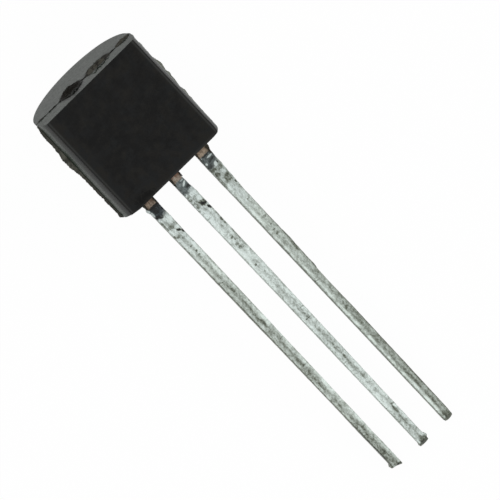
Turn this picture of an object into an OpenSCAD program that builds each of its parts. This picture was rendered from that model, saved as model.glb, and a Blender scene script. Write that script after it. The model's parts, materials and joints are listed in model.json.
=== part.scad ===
// Small through-hole transistor, lying on its round back with the flat face up.
// Local build frame: x to the right seen from the flat side, y to the back, z up from the case's lead side.
// The module laid() turns it into the stored pose: leads along +X, flat face up, lowest point on z = 0.

/* [Case] */
// Width of the case across the mould line
body_w = 4.58; // [4.40:0.01:5.20]
// Height of the case, from the lead side to the closed end
body_h = 4.55; // [4.30:0.01:5.30]
// Depth from the mould line to the flat face
front_depth = 0.90; // [0.80:0.01:1.30]
// How far the flat face is narrower than the mould line, on each side
flat_inset = 0.185; // [0.10:0.005:0.35]
// How far the front's sides swell out, halfway to the flat face
side_swell = 0.045; // [0.00:0.005:0.06]
// How far the flat face is lower than the mould line, at each end
end_draft = 0.01; // [0.00:0.005:0.10]
// Straight wall behind the mould line, before the round back starts
wall_behind = 0.19; // [0.10:0.01:0.40]
// Break of the case's outer edges
edge_break = 0.05; // [0.03:0.01:0.20]
// Break around the flat face
flat_break = 0.06; // [0.02:0.01:0.12]

/* [Mould traces] */
// Largest reach of the thin burr along the case's left side
burr_left = 0.18; // [0.04:0.01:0.25]
// Largest reach of the thin burr along the case's right side
burr_right = 0.09; // [0.03:0.01:0.20]
// Reach of the burr over the closed end
burr_top = 0.02; // [0.01:0.005:0.06]
// Thickness of the burr
burr_t = 0.10; // [0.04:0.01:0.16]
// Width of the broken gate stub on the closed end
gate_w = 1.10; // [0.60:0.05:1.40]
// Depth of the broken gate stub
gate_d = 0.82; // [0.40:0.02:1.00]
// Height of the broken gate stub
gate_h = 0.06; // [0.02:0.01:0.15]
// Place of the gate stub, left of the middle
gate_x = 0.52; // [0.00:0.01:0.80]
// Width of the flatter scar beside the gate
scar_w = 1.26; // [0.60:0.05:1.40]
// Depth of the flatter scar
scar_d = 0.68; // [0.30:0.02:0.90]
// Height of the flatter scar
scar_h = 0.03; // [0.01:0.005:0.08]
// Place of the scar, right of the middle
scar_x = 0.73; // [0.40:0.01:1.20]
// Place of the scar, behind the mould line
scar_y = 0.14; // [0.00:0.01:0.30]
// Length of the black webs beside each lead where it leaves the case
web_len = 0.55; // [0.10:0.01:0.80]
// Reach of those webs beyond the lead
web_w = 0.05; // [0.03:0.01:0.12]
// How far the webs lap over the lead's front face
web_lap = 0.07; // [0.03:0.01:0.12]
// Thickness of that lap
web_front = 0.03; // [0.02:0.01:0.06]
// How far the webs stay clear of the lead's back face
web_setback = 0.10; // [0.04:0.01:0.20]

/* [Leads] */
// Distance between neighbouring leads
lead_pitch = 1.27; // [1.20:0.01:1.35]
// Length of each lead outside the case
lead_len = 13.55; // [10.00:0.05:15.00]
// Thickness of the lead sheet
lead_t = 0.38; // [0.32:0.01:0.45]
// Width of a lead where it leaves the case
root_w = 0.44; // [0.38:0.01:0.52]
// Width of a lead at its tip
tip_w = 0.35; // [0.30:0.01:0.50]
// Slant of the left lead's cut end
slant_left = 0.12; // [0.00:0.01:0.20]
// Slant of the middle lead's cut end
slant_middle = 0.02; // [0.00:0.01:0.20]
// Slant of the right lead's cut end
slant_right = 0.03; // [0.00:0.01:0.20]
// How far the left lead's tip leans to the right
lean_left = 0.03; // [-0.10:0.01:0.10]
// How far the middle lead's tip leans to the right
lean_middle = 0.01; // [-0.10:0.01:0.10]
// How far the right lead's tip leans to the right
lean_right = -0.03; // [-0.10:0.01:0.10]
// Break of the tip's corners
tip_break = 0.05; // [0.02:0.01:0.10]

/* [Inner ends of the leads] */
// Height of the lock shoulders above the lead side
lock_z = 0.45; // [0.30:0.01:0.60]
// Length of a lock shoulder
lock_len = 0.27; // [0.15:0.01:0.35]
// Reach of a lock shoulder beyond the lead
lock_reach = 0.12; // [0.05:0.01:0.16]
// Height where the middle lead's post starts
post_mid_z = 1.12; // [1.00:0.01:1.20]
// Length of the middle lead's post
post_mid_len = 0.46; // [0.30:0.01:0.60]
// Reach of the middle lead's post beyond the lead, on each side
post_mid_reach = 0.09; // [0.04:0.01:0.20]
// Height where the left lead's post starts
post_left_z = 2.16; // [1.90:0.01:2.40]
// Length of the left lead's post
post_left_len = 0.64; // [0.40:0.01:0.80]
// Reach of the left lead's post towards the die
post_left_reach = 0.17; // [0.08:0.01:0.24]
// Gap between the inner ends of neighbouring leads
inner_gap = 0.34; // [0.25:0.01:0.40]
// Reach of the die pad beyond its own lead
pad_reach = 0.05; // [0.02:0.01:0.12]
// Depth of compound above the die pad
top_cover = 0.77; // [0.50:0.01:0.90]
// Cut of the die pad's outer corner
pad_cut = 0.20; // [0.05:0.01:0.30]

/* [Die and wires] */
// Side of the silicon die
die_w = 0.90; // [0.50:0.05:1.10]
// Thickness of the die
die_t = 0.22; // [0.12:0.01:0.28]
// Thickness of the layer that bonds the die to its pad
bond_t = 0.03; // [0.02:0.005:0.05]
// How far that layer runs out beyond the die
bond_over = 0.04; // [0.02:0.01:0.08]
// Diameter of the bond wires
wire_d = 0.03; // [0.025:0.005:0.05]
// Height of each wire's loop
wire_loop = 0.30; // [0.20:0.01:0.36]
// Radius of the bump under each wire end
bump_r = 0.048; // [0.03:0.002:0.06]
// Height of that bump
bump_h = 0.024; // [0.01:0.002:0.04]
// Distance of the wires' feet from the die's edges
foot_inset = 0.20; // [0.12:0.01:0.30]

/* [Hidden] */
$fn = 96;

// Case sizes
back_r = body_w / 2;
depth_back = wall_behind + back_r;
flat_w = body_w - 2 * flat_inset;
flat_h = body_h - 2 * end_draft;

// The die pad lies between the left lead's post and the right lead, above the middle lead's post
half_root = root_w / 2;
post_left_x = [-lead_pitch - half_root, -lead_pitch + half_root + post_left_reach];
pad_x = [post_left_x[1] + inner_gap, lead_pitch + half_root + pad_reach];
pad_z = [post_mid_z + post_mid_len + inner_gap, body_h - top_cover];
die_x = (pad_x[0] + pad_x[1]) / 2;
die_z = (pad_z[0] + pad_z[1]) / 2;
die_front = -bond_t - die_t;

// Where the wires stand on the die and land on the posts
foot_left = [die_x - die_w / 2 + foot_inset, die_front, die_z];
land_left = [(post_left_x[0] + post_left_x[1]) / 2, 0, post_left_z + post_left_len / 2];
foot_mid = [die_x, die_front, die_z - die_w / 2 + foot_inset];
land_mid = [0, 0, post_mid_z + post_mid_len / 2];
WIRE_STEPS = 12;
WIRE_SIDES = 8;

// How far the burr reaches at height share f, as a share of its largest reach
function burr_share(f, side) =
    0.30 + 0.22 * f + 0.50 * exp(-pow((f - 0.62) / 0.11, 2)) + 0.14 * sin(side * 1700 * f + 40) * sin(f * 640 + 90 * side);

BURR_STEPS = 22;
burr_low = 1.3 * edge_break;
burr_heights = [for (i = [0:BURR_STEPS]) burr_low + (body_h - 2 * burr_low) * i / BURR_STEPS];
reach_left = burr_left * max([for (z = burr_heights) burr_share(z / body_h, 1)]);
reach_right = burr_right * max([for (z = burr_heights) burr_share(z / body_h, 2)]);

// Rest pose: the tilt that puts the back's lower edge and the lead tips on the floor together
tilt = atan2(depth_back - lead_t, lead_len + edge_break);
reach_tip = lead_len * cos(tilt);
reach_top = body_h * cos(tilt) + (depth_back - edge_break) * sin(tilt);
shift_x = (reach_top - reach_tip) / 2;
shift_y = (reach_left - reach_right) / 2;
shift_z = lead_len * sin(tilt) + lead_t * cos(tilt);

// Moves a piece from the local frame to the stored pose
module laid() {
    translate([shift_x, shift_y, shift_z])
        rotate([0, tilt, 0])
            rotate([-90, 0, 90])
                children();
}

// A flat piece drawn in x and z, from front plane y0 back to y0 + t
module sheet(y0, t) {
    translate([0, y0 + t, 0])
        rotate([90, 0, 0])
            linear_extrude(t)
                children();
}

// An outline of w by h around [0, body_h / 2] with its corners cut by c
function cut_box(w, h, c) = [
    [-w / 2, (body_h - h) / 2 + c],
    [-w / 2 + c, (body_h - h) / 2],
    [w / 2 - c, (body_h - h) / 2],
    [w / 2, (body_h - h) / 2 + c],
    [w / 2, (body_h + h) / 2 - c],
    [w / 2 - c, (body_h + h) / 2],
    [-w / 2 + c, (body_h + h) / 2],
    [-w / 2, (body_h + h) / 2 - c]
];

// The case's front: four outlines, each at its own depth, joined by flat faces
module front_block() {
    mid_w = (body_w + flat_w) / 2 + 2 * side_swell;
    rings = [
        [for (p = cut_box(body_w, body_h, edge_break)) [p[0], 0, p[1]]],
        [for (p = cut_box(mid_w, (body_h + flat_h) / 2, edge_break)) [p[0], -front_depth / 2, p[1]]],
        [for (p = cut_box(flat_w + 2 * flat_break, flat_h, edge_break)) [p[0], flat_break - front_depth, p[1]]],
        [for (p = cut_box(flat_w, flat_h - 2 * flat_break, edge_break)) [p[0], -front_depth, p[1]]]
    ];
    points = [for (ring = rings) for (p = ring) p];
    sides = [for (k = [0, 8, 16]) for (i = [0:7]) [k + i, k + 8 + i, k + 8 + (i + 1) % 8, k + (i + 1) % 8]];
    polyhedron(points, concat([[for (i = [0:7]) i]], sides, [[for (i = [31:-1:24]) i]]));
}

// The case's back: a straight wall and half a turned block
module back_block() {
    sheet(0, wall_behind)
        polygon(cut_box(body_w, body_h, edge_break));
    translate([0, wall_behind, 0])
        rotate_extrude(angle = 180)
            polygon([
                [0, 0],
                [back_r - edge_break, 0],
                [back_r, edge_break],
                [back_r, body_h - edge_break],
                [back_r - edge_break, body_h],
                [0, body_h]
            ]);
}

// The thin burr of the mould line, on both sides and over the closed end
module burr() {
    left = [for (z = burr_heights) [-body_w / 2 - burr_left * burr_share(z / body_h, 1), z]];
    right = [for (i = [BURR_STEPS:-1:0]) let(z = burr_heights[i])
        [body_w / 2 + burr_right * burr_share(z / body_h, 2), z]];
    sheet(0, burr_t)
        polygon(concat(
            [[0, burr_low]],
            left,
            [[-body_w / 2 + edge_break, body_h + burr_top], [body_w / 2 - edge_break, body_h + burr_top]],
            right
        ));
}

// A low lens-shaped stub on the closed end, l long and d deep around [x, y]
module stub(x, y, l, d, h) {
    r = (l * l + d * d) / (4 * d);
    translate([x, y, body_h - edge_break])
        intersection() {
            translate([0, r - d / 2, 0])
                cylinder(r = r, h = edge_break + h);
            translate([0, d / 2 - r, 0])
                cylinder(r = r, h = edge_break + h);
        }
}

// Black webs on both sides of one lead where it leaves the case
module webs(x) {
    for (side = [-1, 1])
        sheet(-web_front, web_front + lead_t - web_setback)
            polygon([
                [x + side * (half_root - web_lap), edge_break],
                [x + side * (half_root + 2 * web_w), edge_break],
                [x + side * (half_root + web_w), -web_w],
                [x + side * (half_root + web_w), -0.7 * web_len],
                [x + side * (half_root + 0.3 * web_w), -web_len],
                [x + side * (half_root - web_lap), -web_len]
            ]);
}

// The lead's outline below the case, from its right root corner round the tip to its left root corner
function shank(x, slant, lean) = [
    [x + half_root, 0],
    [x + lean + tip_w / 2, -lead_len + tip_break],
    [x + lean + tip_w / 2 - tip_break, -lead_len],
    [x + lean - tip_w / 2 + tip_break, -lead_len + 0.8 * slant],
    [x + lean - tip_w / 2, -lead_len + tip_break + slant],
    [x - half_root, 0]
];

// The lock shoulder on one side of a lead, from low to high
function lock(x, side) = [
    [x + side * half_root, lock_z],
    [x + side * (half_root + lock_reach), lock_z],
    [x + side * (half_root + lock_reach), lock_z + lock_len],
    [x + side * half_root, lock_z + lock_len]
];

// The same points from last to first
function reversed(v) = [for (i = [len(v) - 1:-1:0]) v[i]];

// A lead with two lock shoulders and the inner end that head draws, clockwise from the lead's left side
module lead_shape(x, slant, lean, head) {
    sheet(0, lead_t)
        polygon(concat(reversed(lock(x, 1)), shank(x, slant, lean), lock(x, -1), head));
}

module lead_left_shape() {
    high = post_left_z + post_left_len;
    lead_shape(-lead_pitch, slant_left, lean_left, [
        [post_left_x[0], high],
        [post_left_x[1], high],
        [post_left_x[1], post_left_z],
        [-lead_pitch + half_root, post_left_z]
    ]);
}

module lead_middle_shape() {
    half = half_root + post_mid_reach;
    high = post_mid_z + post_mid_len;
    lead_shape(0, slant_middle, lean_middle, [
        [-half_root, post_mid_z],
        [-half, post_mid_z],
        [-half, high],
        [half, high],
        [half, post_mid_z],
        [half_root, post_mid_z]
    ]);
}

// The right lead carries the die pad
module lead_right_shape() {
    lead_shape(lead_pitch, slant_right, lean_right, [
        [lead_pitch - half_root, pad_z[0]],
        [pad_x[0], pad_z[0]],
        [pad_x[0], pad_z[1]],
        [pad_x[1] - pad_cut, pad_z[1]],
        [pad_x[1], pad_z[1] - pad_cut],
        [pad_x[1], pad_z[0]],
        [lead_pitch + half_root, pad_z[0]]
    ]);
}

module die_shape() {
    translate([die_x - die_w / 2, die_front, die_z - die_w / 2])
        cube([die_w, die_t, die_w]);
}

module die_bond_shape() {
    side = die_w + 2 * bond_over;
    translate([die_x - side / 2, -bond_t, die_z - side / 2])
        cube([side, bond_t, side]);
}

// A flat-sided bump that stands forward from a face at p
module bump(p) {
    translate(p)
        rotate([90, 0, 0])
            cylinder(r = bump_r, h = bump_h, $fn = WIRE_SIDES);
}

// A looped wire from foot a to foot b, with a bump under each end
module wire_shape(a, b) {
    run = [b[0] - a[0], 0, b[2] - a[2]];
    long = norm(run);
    way = run / long;
    across = [-way[2], 0, way[0]];
    start = a[1] - bump_h / 2;
    drop = b[1] - a[1];
    points = [for (i = [0:WIRE_STEPS]) let(
            q = 180 * i / WIRE_STEPS,
            u = (1 - cos(q)) / 2,
            along = long * sin(q) / 2,
            out = drop * sin(q) / 2 - wire_loop * cos(q),
            slope = sqrt(along * along + out * out),
            centre = [a[0], start + drop * u - wire_loop * sin(q), a[2]] + way * long * u,
            lean = way * (-out / slope) + [0, along / slope, 0]
        )
        for (j = [0:WIRE_SIDES - 1]) let(f = 360 * j / WIRE_SIDES)
            centre + wire_d / 2 * (cos(f) * lean + sin(f) * across)];
    last = WIRE_STEPS * WIRE_SIDES;
    skin = [for (i = [0:WIRE_STEPS - 1]) for (j = [0:WIRE_SIDES - 1]) let(
            p = i * WIRE_SIDES + j,
            q = i * WIRE_SIDES + (j + 1) % WIRE_SIDES
        )
        for (t = [[p, p + WIRE_SIDES, q], [q, p + WIRE_SIDES, q + WIRE_SIDES]]) t];
    polyhedron(points, concat(
        [[for (j = [0:WIRE_SIDES - 1]) j]],
        skin,
        [[for (j = [WIRE_SIDES - 1:-1:0]) last + j]]
    ));
    bump(a);
    bump(b);
}

// Everything that the case is moulded around
module inner_pieces() {
    lead_left_shape();
    lead_middle_shape();
    lead_right_shape();
    die_shape();
    die_bond_shape();
    wire_shape(foot_left, land_left);
    wire_shape(foot_mid, land_mid);
}

module moulded_case() {
    color([0.08, 0.08, 0.08])
        laid()
            difference() {
                union() {
                    front_block();
                    back_block();
                    burr();
                    stub(-gate_x, 0, gate_w, gate_d, gate_h);
                    stub(scar_x, scar_y, scar_w, scar_d, scar_h);
                    webs(-lead_pitch);
                    webs(0);
                    webs(lead_pitch);
                }
                inner_pieces();
            }
}

module lead_left() {
    color([0.74, 0.75, 0.72])
        laid()
            lead_left_shape();
}

module lead_middle() {
    color([0.74, 0.75, 0.72])
        laid()
            lead_middle_shape();
}

module lead_right() {
    color([0.74, 0.75, 0.72])
        laid()
            lead_right_shape();
}

module die() {
    color([0.30, 0.32, 0.38])
        laid()
            die_shape();
}

module die_bond() {
    color([0.62, 0.62, 0.60])
        laid()
            die_bond_shape();
}

module wire_left() {
    color([0.90, 0.70, 0.30])
        laid()
            wire_shape(foot_left, land_left);
}

module wire_middle() {
    color([0.90, 0.70, 0.30])
        laid()
            wire_shape(foot_mid, land_mid);
}

moulded_case();
lead_left();
lead_middle();
lead_right();
die();
die_bond();
wire_left();
wire_middle();
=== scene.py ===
"""Small through-hole transistor lying on its round back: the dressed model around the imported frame.

Pieces are modelled upright in millimetres, in the build frame of the part's source: x to the right seen
from the flat side, y to the back, z up from the case's lead side, with the mould line at y = 0. RestPose
then lays each mesh down in metres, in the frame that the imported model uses.
"""

from __future__ import annotations

import json
import logging
import math
from collections.abc import Callable, Sequence
from dataclasses import dataclass, field
from enum import Enum

import bmesh
import bpy
from mathutils import Matrix, Vector, noise

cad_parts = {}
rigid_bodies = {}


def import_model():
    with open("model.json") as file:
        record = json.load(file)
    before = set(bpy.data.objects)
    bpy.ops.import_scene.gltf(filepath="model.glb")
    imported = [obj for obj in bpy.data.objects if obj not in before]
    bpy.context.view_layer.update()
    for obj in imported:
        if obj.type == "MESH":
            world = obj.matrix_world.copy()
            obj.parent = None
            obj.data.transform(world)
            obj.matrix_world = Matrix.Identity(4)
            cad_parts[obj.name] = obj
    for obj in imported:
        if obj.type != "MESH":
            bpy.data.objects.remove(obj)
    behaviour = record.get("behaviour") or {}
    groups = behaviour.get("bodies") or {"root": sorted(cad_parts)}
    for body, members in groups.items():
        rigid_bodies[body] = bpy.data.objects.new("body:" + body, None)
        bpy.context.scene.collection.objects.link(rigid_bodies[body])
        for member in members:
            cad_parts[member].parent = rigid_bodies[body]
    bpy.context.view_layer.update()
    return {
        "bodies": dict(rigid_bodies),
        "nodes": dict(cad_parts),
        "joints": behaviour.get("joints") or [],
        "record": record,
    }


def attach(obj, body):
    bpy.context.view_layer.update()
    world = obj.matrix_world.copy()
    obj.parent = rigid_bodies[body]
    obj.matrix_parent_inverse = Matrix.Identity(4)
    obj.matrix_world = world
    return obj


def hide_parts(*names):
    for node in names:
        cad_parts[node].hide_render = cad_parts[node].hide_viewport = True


LOG = logging.getLogger("transistor")
MM = 0.001
PICTURE_PX = 500
X, Y, Z = range(3)
MERGE = 1e-5
BEVEL_STEPS = 4

Triple = tuple[float, float, float]
Colour = Triple
Settings = dict[str, object]
WHITE: Colour = (1.0, 1.0, 1.0)


# ---------------------------------------------------------------- sizes


@dataclass(frozen=True)
class CaseSizes:
    """Sizes of the moulded case in millimetres, as in the part's source."""

    width: float = 4.58
    height: float = 4.55
    front: float = 0.90
    flat_inset: float = 0.185
    end_draft: float = 0.01
    wall_behind: float = 0.19
    edge_break: float = 0.05
    burr_left: float = 0.18
    burr_right: float = 0.09
    burr_thick: float = 0.10
    reach_left: float = 0.178207
    reach_right: float = 0.083176

    @property
    def radius(self) -> float:
        """Radius of the round back."""
        return self.width / 2

    @property
    def depth_back(self) -> float:
        """Depth from the mould line to the back of the round."""
        return self.wall_behind + self.radius

    @property
    def flat_width(self) -> float:
        """Width of the flat face."""
        return self.width - 2 * self.flat_inset

    @property
    def flat_height(self) -> float:
        """Height of the flat face."""
        return self.height - 2 * self.end_draft


@dataclass(frozen=True)
class LeadSizes:
    """Sizes that the leads share, in millimetres, as in the part's source."""

    pitch: float = 1.27
    length: float = 13.55
    thick: float = 0.38
    root: float = 0.44
    tip: float = 0.35
    lock_z: float = 0.45
    lock_len: float = 0.27
    lock_reach: float = 0.12
    post_mid_z: float = 1.12
    post_mid_len: float = 0.46
    post_mid_reach: float = 0.09
    post_left_z: float = 2.16
    post_left_len: float = 0.64
    post_left_reach: float = 0.17
    inner_gap: float = 0.34
    pad_reach: float = 0.05
    top_cover: float = 0.77


@dataclass(frozen=True)
class RestPose:
    """Lays what was modelled upright in millimetres down in metres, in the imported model's frame."""

    case: CaseSizes
    lead: LeadSizes

    @property
    def tilt(self) -> float:
        """Angle between the leads and the floor, in radians."""
        return math.atan2(self.case.depth_back - self.lead.thick, self.lead.length + self.case.edge_break)

    @property
    def turn(self) -> Matrix:
        """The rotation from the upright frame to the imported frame."""
        upright = Matrix.Rotation(math.pi / 2, 4, "Z") @ Matrix.Rotation(-math.pi / 2, 4, "X")
        return Matrix.Rotation(self.tilt, 4, "Y") @ upright

    @property
    def shift(self) -> Vector:
        """The move that follows the rotation, in millimetres."""
        case, lead = self.case, self.lead
        rise, run = math.sin(self.tilt), math.cos(self.tilt)
        top = case.height * run + (case.depth_back - case.edge_break) * rise
        aside = (case.reach_left - case.reach_right) / 2
        return Vector(((top - lead.length * run) / 2, aside, lead.length * rise + lead.thick * run))

    def matrix(self) -> Matrix:
        """Returns: the whole move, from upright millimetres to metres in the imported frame."""
        return Matrix.Scale(MM, 4) @ Matrix.Translation(self.shift) @ self.turn

    def direction(self, upright: Vector) -> Vector:
        """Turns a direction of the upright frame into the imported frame."""
        return self.turn.to_3x3() @ upright


# ---------------------------------------------------------------- the bench: one mesh and the steps on it


class Bench:
    """One mesh object, started from a primitive and shaped by edit-mode steps."""

    def __init__(self, obj: bpy.types.Object) -> None:
        """Takes a mesh object that was just added."""
        self.obj = obj

    @staticmethod
    def clear() -> None:
        """Leaves edit mode and deselects every object."""
        if bpy.context.object and bpy.context.object.mode != "OBJECT":
            bpy.ops.object.mode_set(mode="OBJECT")
        bpy.ops.object.select_all(action="DESELECT")

    @classmethod
    def _named(cls, name: str) -> Bench:
        """Names the new active object and its mesh, and puts its place into the mesh."""
        obj = bpy.context.object
        obj.name = name
        obj.data.name = name
        bpy.ops.object.transform_apply(location=True, rotation=True, scale=True)
        return cls(obj)

    @classmethod
    def block(cls, name: str, low: Sequence[float], high: Sequence[float]) -> Bench:
        """Adds a block.

        Args:
            name: name of the piece.
            low: its lowest corner.
            high: its highest corner.

        Returns:
            The bench with the block on it.
        """
        cls.clear()
        centre = [(a + b) / 2 for a, b in zip(low, high, strict=True)]
        size = [b - a for a, b in zip(low, high, strict=True)]
        bpy.ops.mesh.primitive_cube_add(size=1, location=centre, scale=size)
        return cls._named(name)

    @classmethod
    def drum(cls, name: str, radius: float, height: float, centre: Sequence[float], sides: int) -> Bench:
        """Adds an upright drum.

        Args:
            name: name of the piece.
            radius: its radius.
            height: its height.
            centre: its middle.
            sides: how many sides its round has.

        Returns:
            The bench with the drum on it.
        """
        cls.clear()
        bpy.ops.mesh.primitive_cylinder_add(
            vertices=sides, radius=radius, depth=height, location=centre, end_fill_type="NGON"
        )
        return cls._named(name)

    @classmethod
    def lump(cls, name: str, radii: Sequence[float], centre: Sequence[float], rings: int = 40) -> Bench:
        """Adds a stretched ball.

        Args:
            name: name of the piece.
            radii: its half sizes along x, y and z.
            centre: its middle.
            rings: how many rings it has from pole to pole.

        Returns:
            The bench with the ball on it.
        """
        cls.clear()
        bpy.ops.mesh.primitive_uv_sphere_add(
            segments=2 * rings, ring_count=rings, radius=1, location=centre, scale=radii
        )
        return cls._named(name)

    def _take(self) -> None:
        """Makes this object the only one that is selected and active."""
        Bench.clear()
        self.obj.select_set(True)
        bpy.context.view_layer.objects.active = self.obj

    def _edit(self, kind: str, action: str = "DESELECT") -> bmesh.types.BMesh:
        """Enters edit mode for VERT, EDGE or FACE, with nothing selected or with everything."""
        if self.obj.mode != "EDIT":
            self._take()
            bpy.ops.object.mode_set(mode="EDIT")
        bpy.ops.mesh.select_mode(type=kind)
        bpy.ops.mesh.select_all(action=action)
        return bmesh.from_edit_mesh(self.obj.data)

    def _pick(self, kind: str, test: Callable[..., bool]) -> None:
        """Selects the elements of one kind that pass a test."""
        mesh = self._edit(kind)
        for element in {"VERT": mesh.verts, "EDGE": mesh.edges, "FACE": mesh.faces}[kind]:
            if test(element):
                element.select_set(True)
        mesh.select_flush_mode()
        bmesh.update_edit_mesh(self.obj.data)

    def faces(self, test: Callable[[bmesh.types.BMFace], bool]) -> None:
        """Selects the faces that pass a test."""
        self._pick("FACE", test)

    def edges(self, test: Callable[[bmesh.types.BMEdge], bool]) -> None:
        """Selects the edges that pass a test."""
        self._pick("EDGE", test)

    def verts(self, test: Callable[[bmesh.types.BMVert], bool]) -> None:
        """Selects the vertices that pass a test."""
        self._pick("VERT", test)

    def extrude(self, move: Sequence[float]) -> None:
        """Extrudes what is selected along a move."""
        bpy.ops.mesh.extrude_region_move(TRANSFORM_OT_translate={"value": tuple(move)})

    def resize(self, factors: Sequence[float], about: Sequence[float]) -> None:
        """Scales what is selected about a point."""
        bpy.ops.transform.resize(value=tuple(factors), center_override=tuple(about))

    def inset(self, width: float, depth: float = 0.0) -> None:
        """Insets the selected faces by a width, and moves them out by a depth."""
        bpy.ops.mesh.inset(thickness=width, depth=depth)

    def split(self, cuts: int) -> None:
        """Cuts the selected edges into equal lengths."""
        bpy.ops.mesh.subdivide(number_cuts=cuts)

    def grid(self, *steps: tuple[int, float, int]) -> None:
        """Cuts the mesh into a grid, one axis after the other.

        Args:
            steps: the axis, how far an edge has to reach along it, and the cuts that it then gets.
        """
        for axis, reach, cuts in steps:
            self.edges(lambda edge, a=axis, r=reach: abs(edge.verts[0].co[a] - edge.verts[1].co[a]) > r)
            self.split(cuts)

    def bisect(self, point: Sequence[float], normal: Sequence[float], drop_behind: bool = False) -> None:
        """Cuts the whole mesh by a plane.

        Args:
            point: a point of the plane.
            normal: the plane's normal.
            drop_behind: removes what lies behind the plane and closes the cut.
        """
        self._edit("FACE", "SELECT")
        bpy.ops.mesh.bisect(
            plane_co=point, plane_no=normal, clear_inner=drop_behind, use_fill=drop_behind, threshold=MERGE
        )

    def weigh_edges(self, weight: Callable[[bmesh.types.BMEdge], float]) -> None:
        """Writes each edge's share of the bevel that follows."""
        mesh = self._edit("EDGE")
        layers = mesh.edges.layers.float
        layer = layers.get("bevel_weight_edge") or layers.new("bevel_weight_edge")
        for edge in mesh.edges:
            edge[layer] = weight(edge)
        bmesh.update_edit_mesh(self.obj.data)

    def shape(self, change: Callable[[Vector, Vector], Vector]) -> Bench:
        """Moves each vertex to where a function of its place and normal puts it, and leaves edit mode.

        Args:
            change: the function.

        Returns:
            This bench.
        """
        mesh = self._edit("VERT")
        mesh.normal_update()
        places = [change(vert.co.copy(), vert.normal.copy()) for vert in mesh.verts]
        for vert, place in zip(mesh.verts, places, strict=True):
            vert.co = place
        bmesh.update_edit_mesh(self.obj.data)
        self.close()
        return self

    def modifier(self, kind: str, **settings: object) -> None:
        """Adds a modifier with its settings and applies it."""
        self._take()
        made = self.obj.modifiers.new(kind.lower(), kind)
        for key, value in settings.items():
            setattr(made, key, value)
        bpy.ops.object.modifier_apply(modifier=made.name)

    def bevel_by_weight(self, width: float, weight: Callable[[bmesh.types.BMEdge], float]) -> None:
        """Rounds the edges, each by its share of a width."""
        self.weigh_edges(weight)
        self.modifier("BEVEL", width=width, segments=BEVEL_STEPS, limit_method="WEIGHT")

    def unite(self, other: Bench) -> None:
        """Joins another closed mesh to this one as one closed skin, and removes the other."""
        self.modifier("BOOLEAN", operation="UNION", object=other.obj, solver="EXACT")
        bpy.data.objects.remove(other.obj, do_unlink=True)

    def close(self) -> None:
        """Leaves edit mode."""
        if self.obj.mode != "OBJECT":
            bpy.ops.object.mode_set(mode="OBJECT")

    def recalculate(self) -> None:
        """Merges doubles and turns every face outwards."""
        self._edit("FACE", "SELECT")
        bpy.ops.mesh.remove_doubles(threshold=MERGE)
        bpy.ops.mesh.normals_make_consistent(inside=False)
        self.close()

    def smooth(self, degrees: float) -> None:
        """Shades smooth across edges that turn by less than an angle."""
        self._take()
        bpy.ops.object.shade_smooth_by_angle(angle=math.radians(degrees))

    def finished(self, pose: RestPose, material: bpy.types.Material) -> bpy.types.Object:
        """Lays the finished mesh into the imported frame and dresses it.

        Args:
            pose: the rest pose.
            material: its material.

        Returns:
            The object, at the origin, with its place in its mesh.
        """
        self.close()
        self.obj.data.transform(pose.matrix())
        self.obj.data.update()
        dress(self.obj, material)
        return self.obj


def dress(obj: bpy.types.Object, material: bpy.types.Material) -> None:
    """Gives an object one material and nothing else."""
    obj.data.materials.clear()
    obj.data.materials.append(material)
    LOG.info("%s: %d faces in %s", obj.name, len(obj.data.polygons), material.name)


def rough(place: Vector, frequency: float, seed: float = 0.0, octaves: int = 3) -> float:
    """Noise of several sizes, between about -1 and 1.

    Args:
        place: where, in millimetres.
        frequency: waves a millimetre of the largest size.
        seed: which noise.
        octaves: how many sizes.

    Returns:
        The noise's value.
    """
    total, share = 0.0, 1.0
    for octave in range(octaves):
        total += share * noise.noise(place * frequency * 2**octave + Vector((seed, 3.1 * octave, -seed)))
        share *= 0.5
    return total


def step(value: float, low: float, high: float) -> float:
    """A soft step: 0 before low, 1 after high. With high below low it falls instead of rising."""
    share = min(1.0, max(0.0, (value - low) / (high - low)))
    return share * share * (3 - 2 * share)


def hill(value: float, middle: float, half: float) -> float:
    """A bell of height 1 round a middle, as wide as half on each side."""
    return math.exp(-(((value - middle) / half) ** 2))


# ---------------------------------------------------------------- shader maths


def operator(operation: str, swapped: bool = False) -> Callable[[Value, Value | float], Value]:
    """Makes a method of Value that adds one Math node.

    Args:
        operation: the node's operation.
        swapped: puts the other value first, for an operator with a plain number on its left.

    Returns:
        The method.
    """

    def method(self: Value, other: Value | float) -> Value:
        """Adds the node and returns its output."""
        return self.math(operation, *((other, self) if swapped else (self, other)))

    return method


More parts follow.
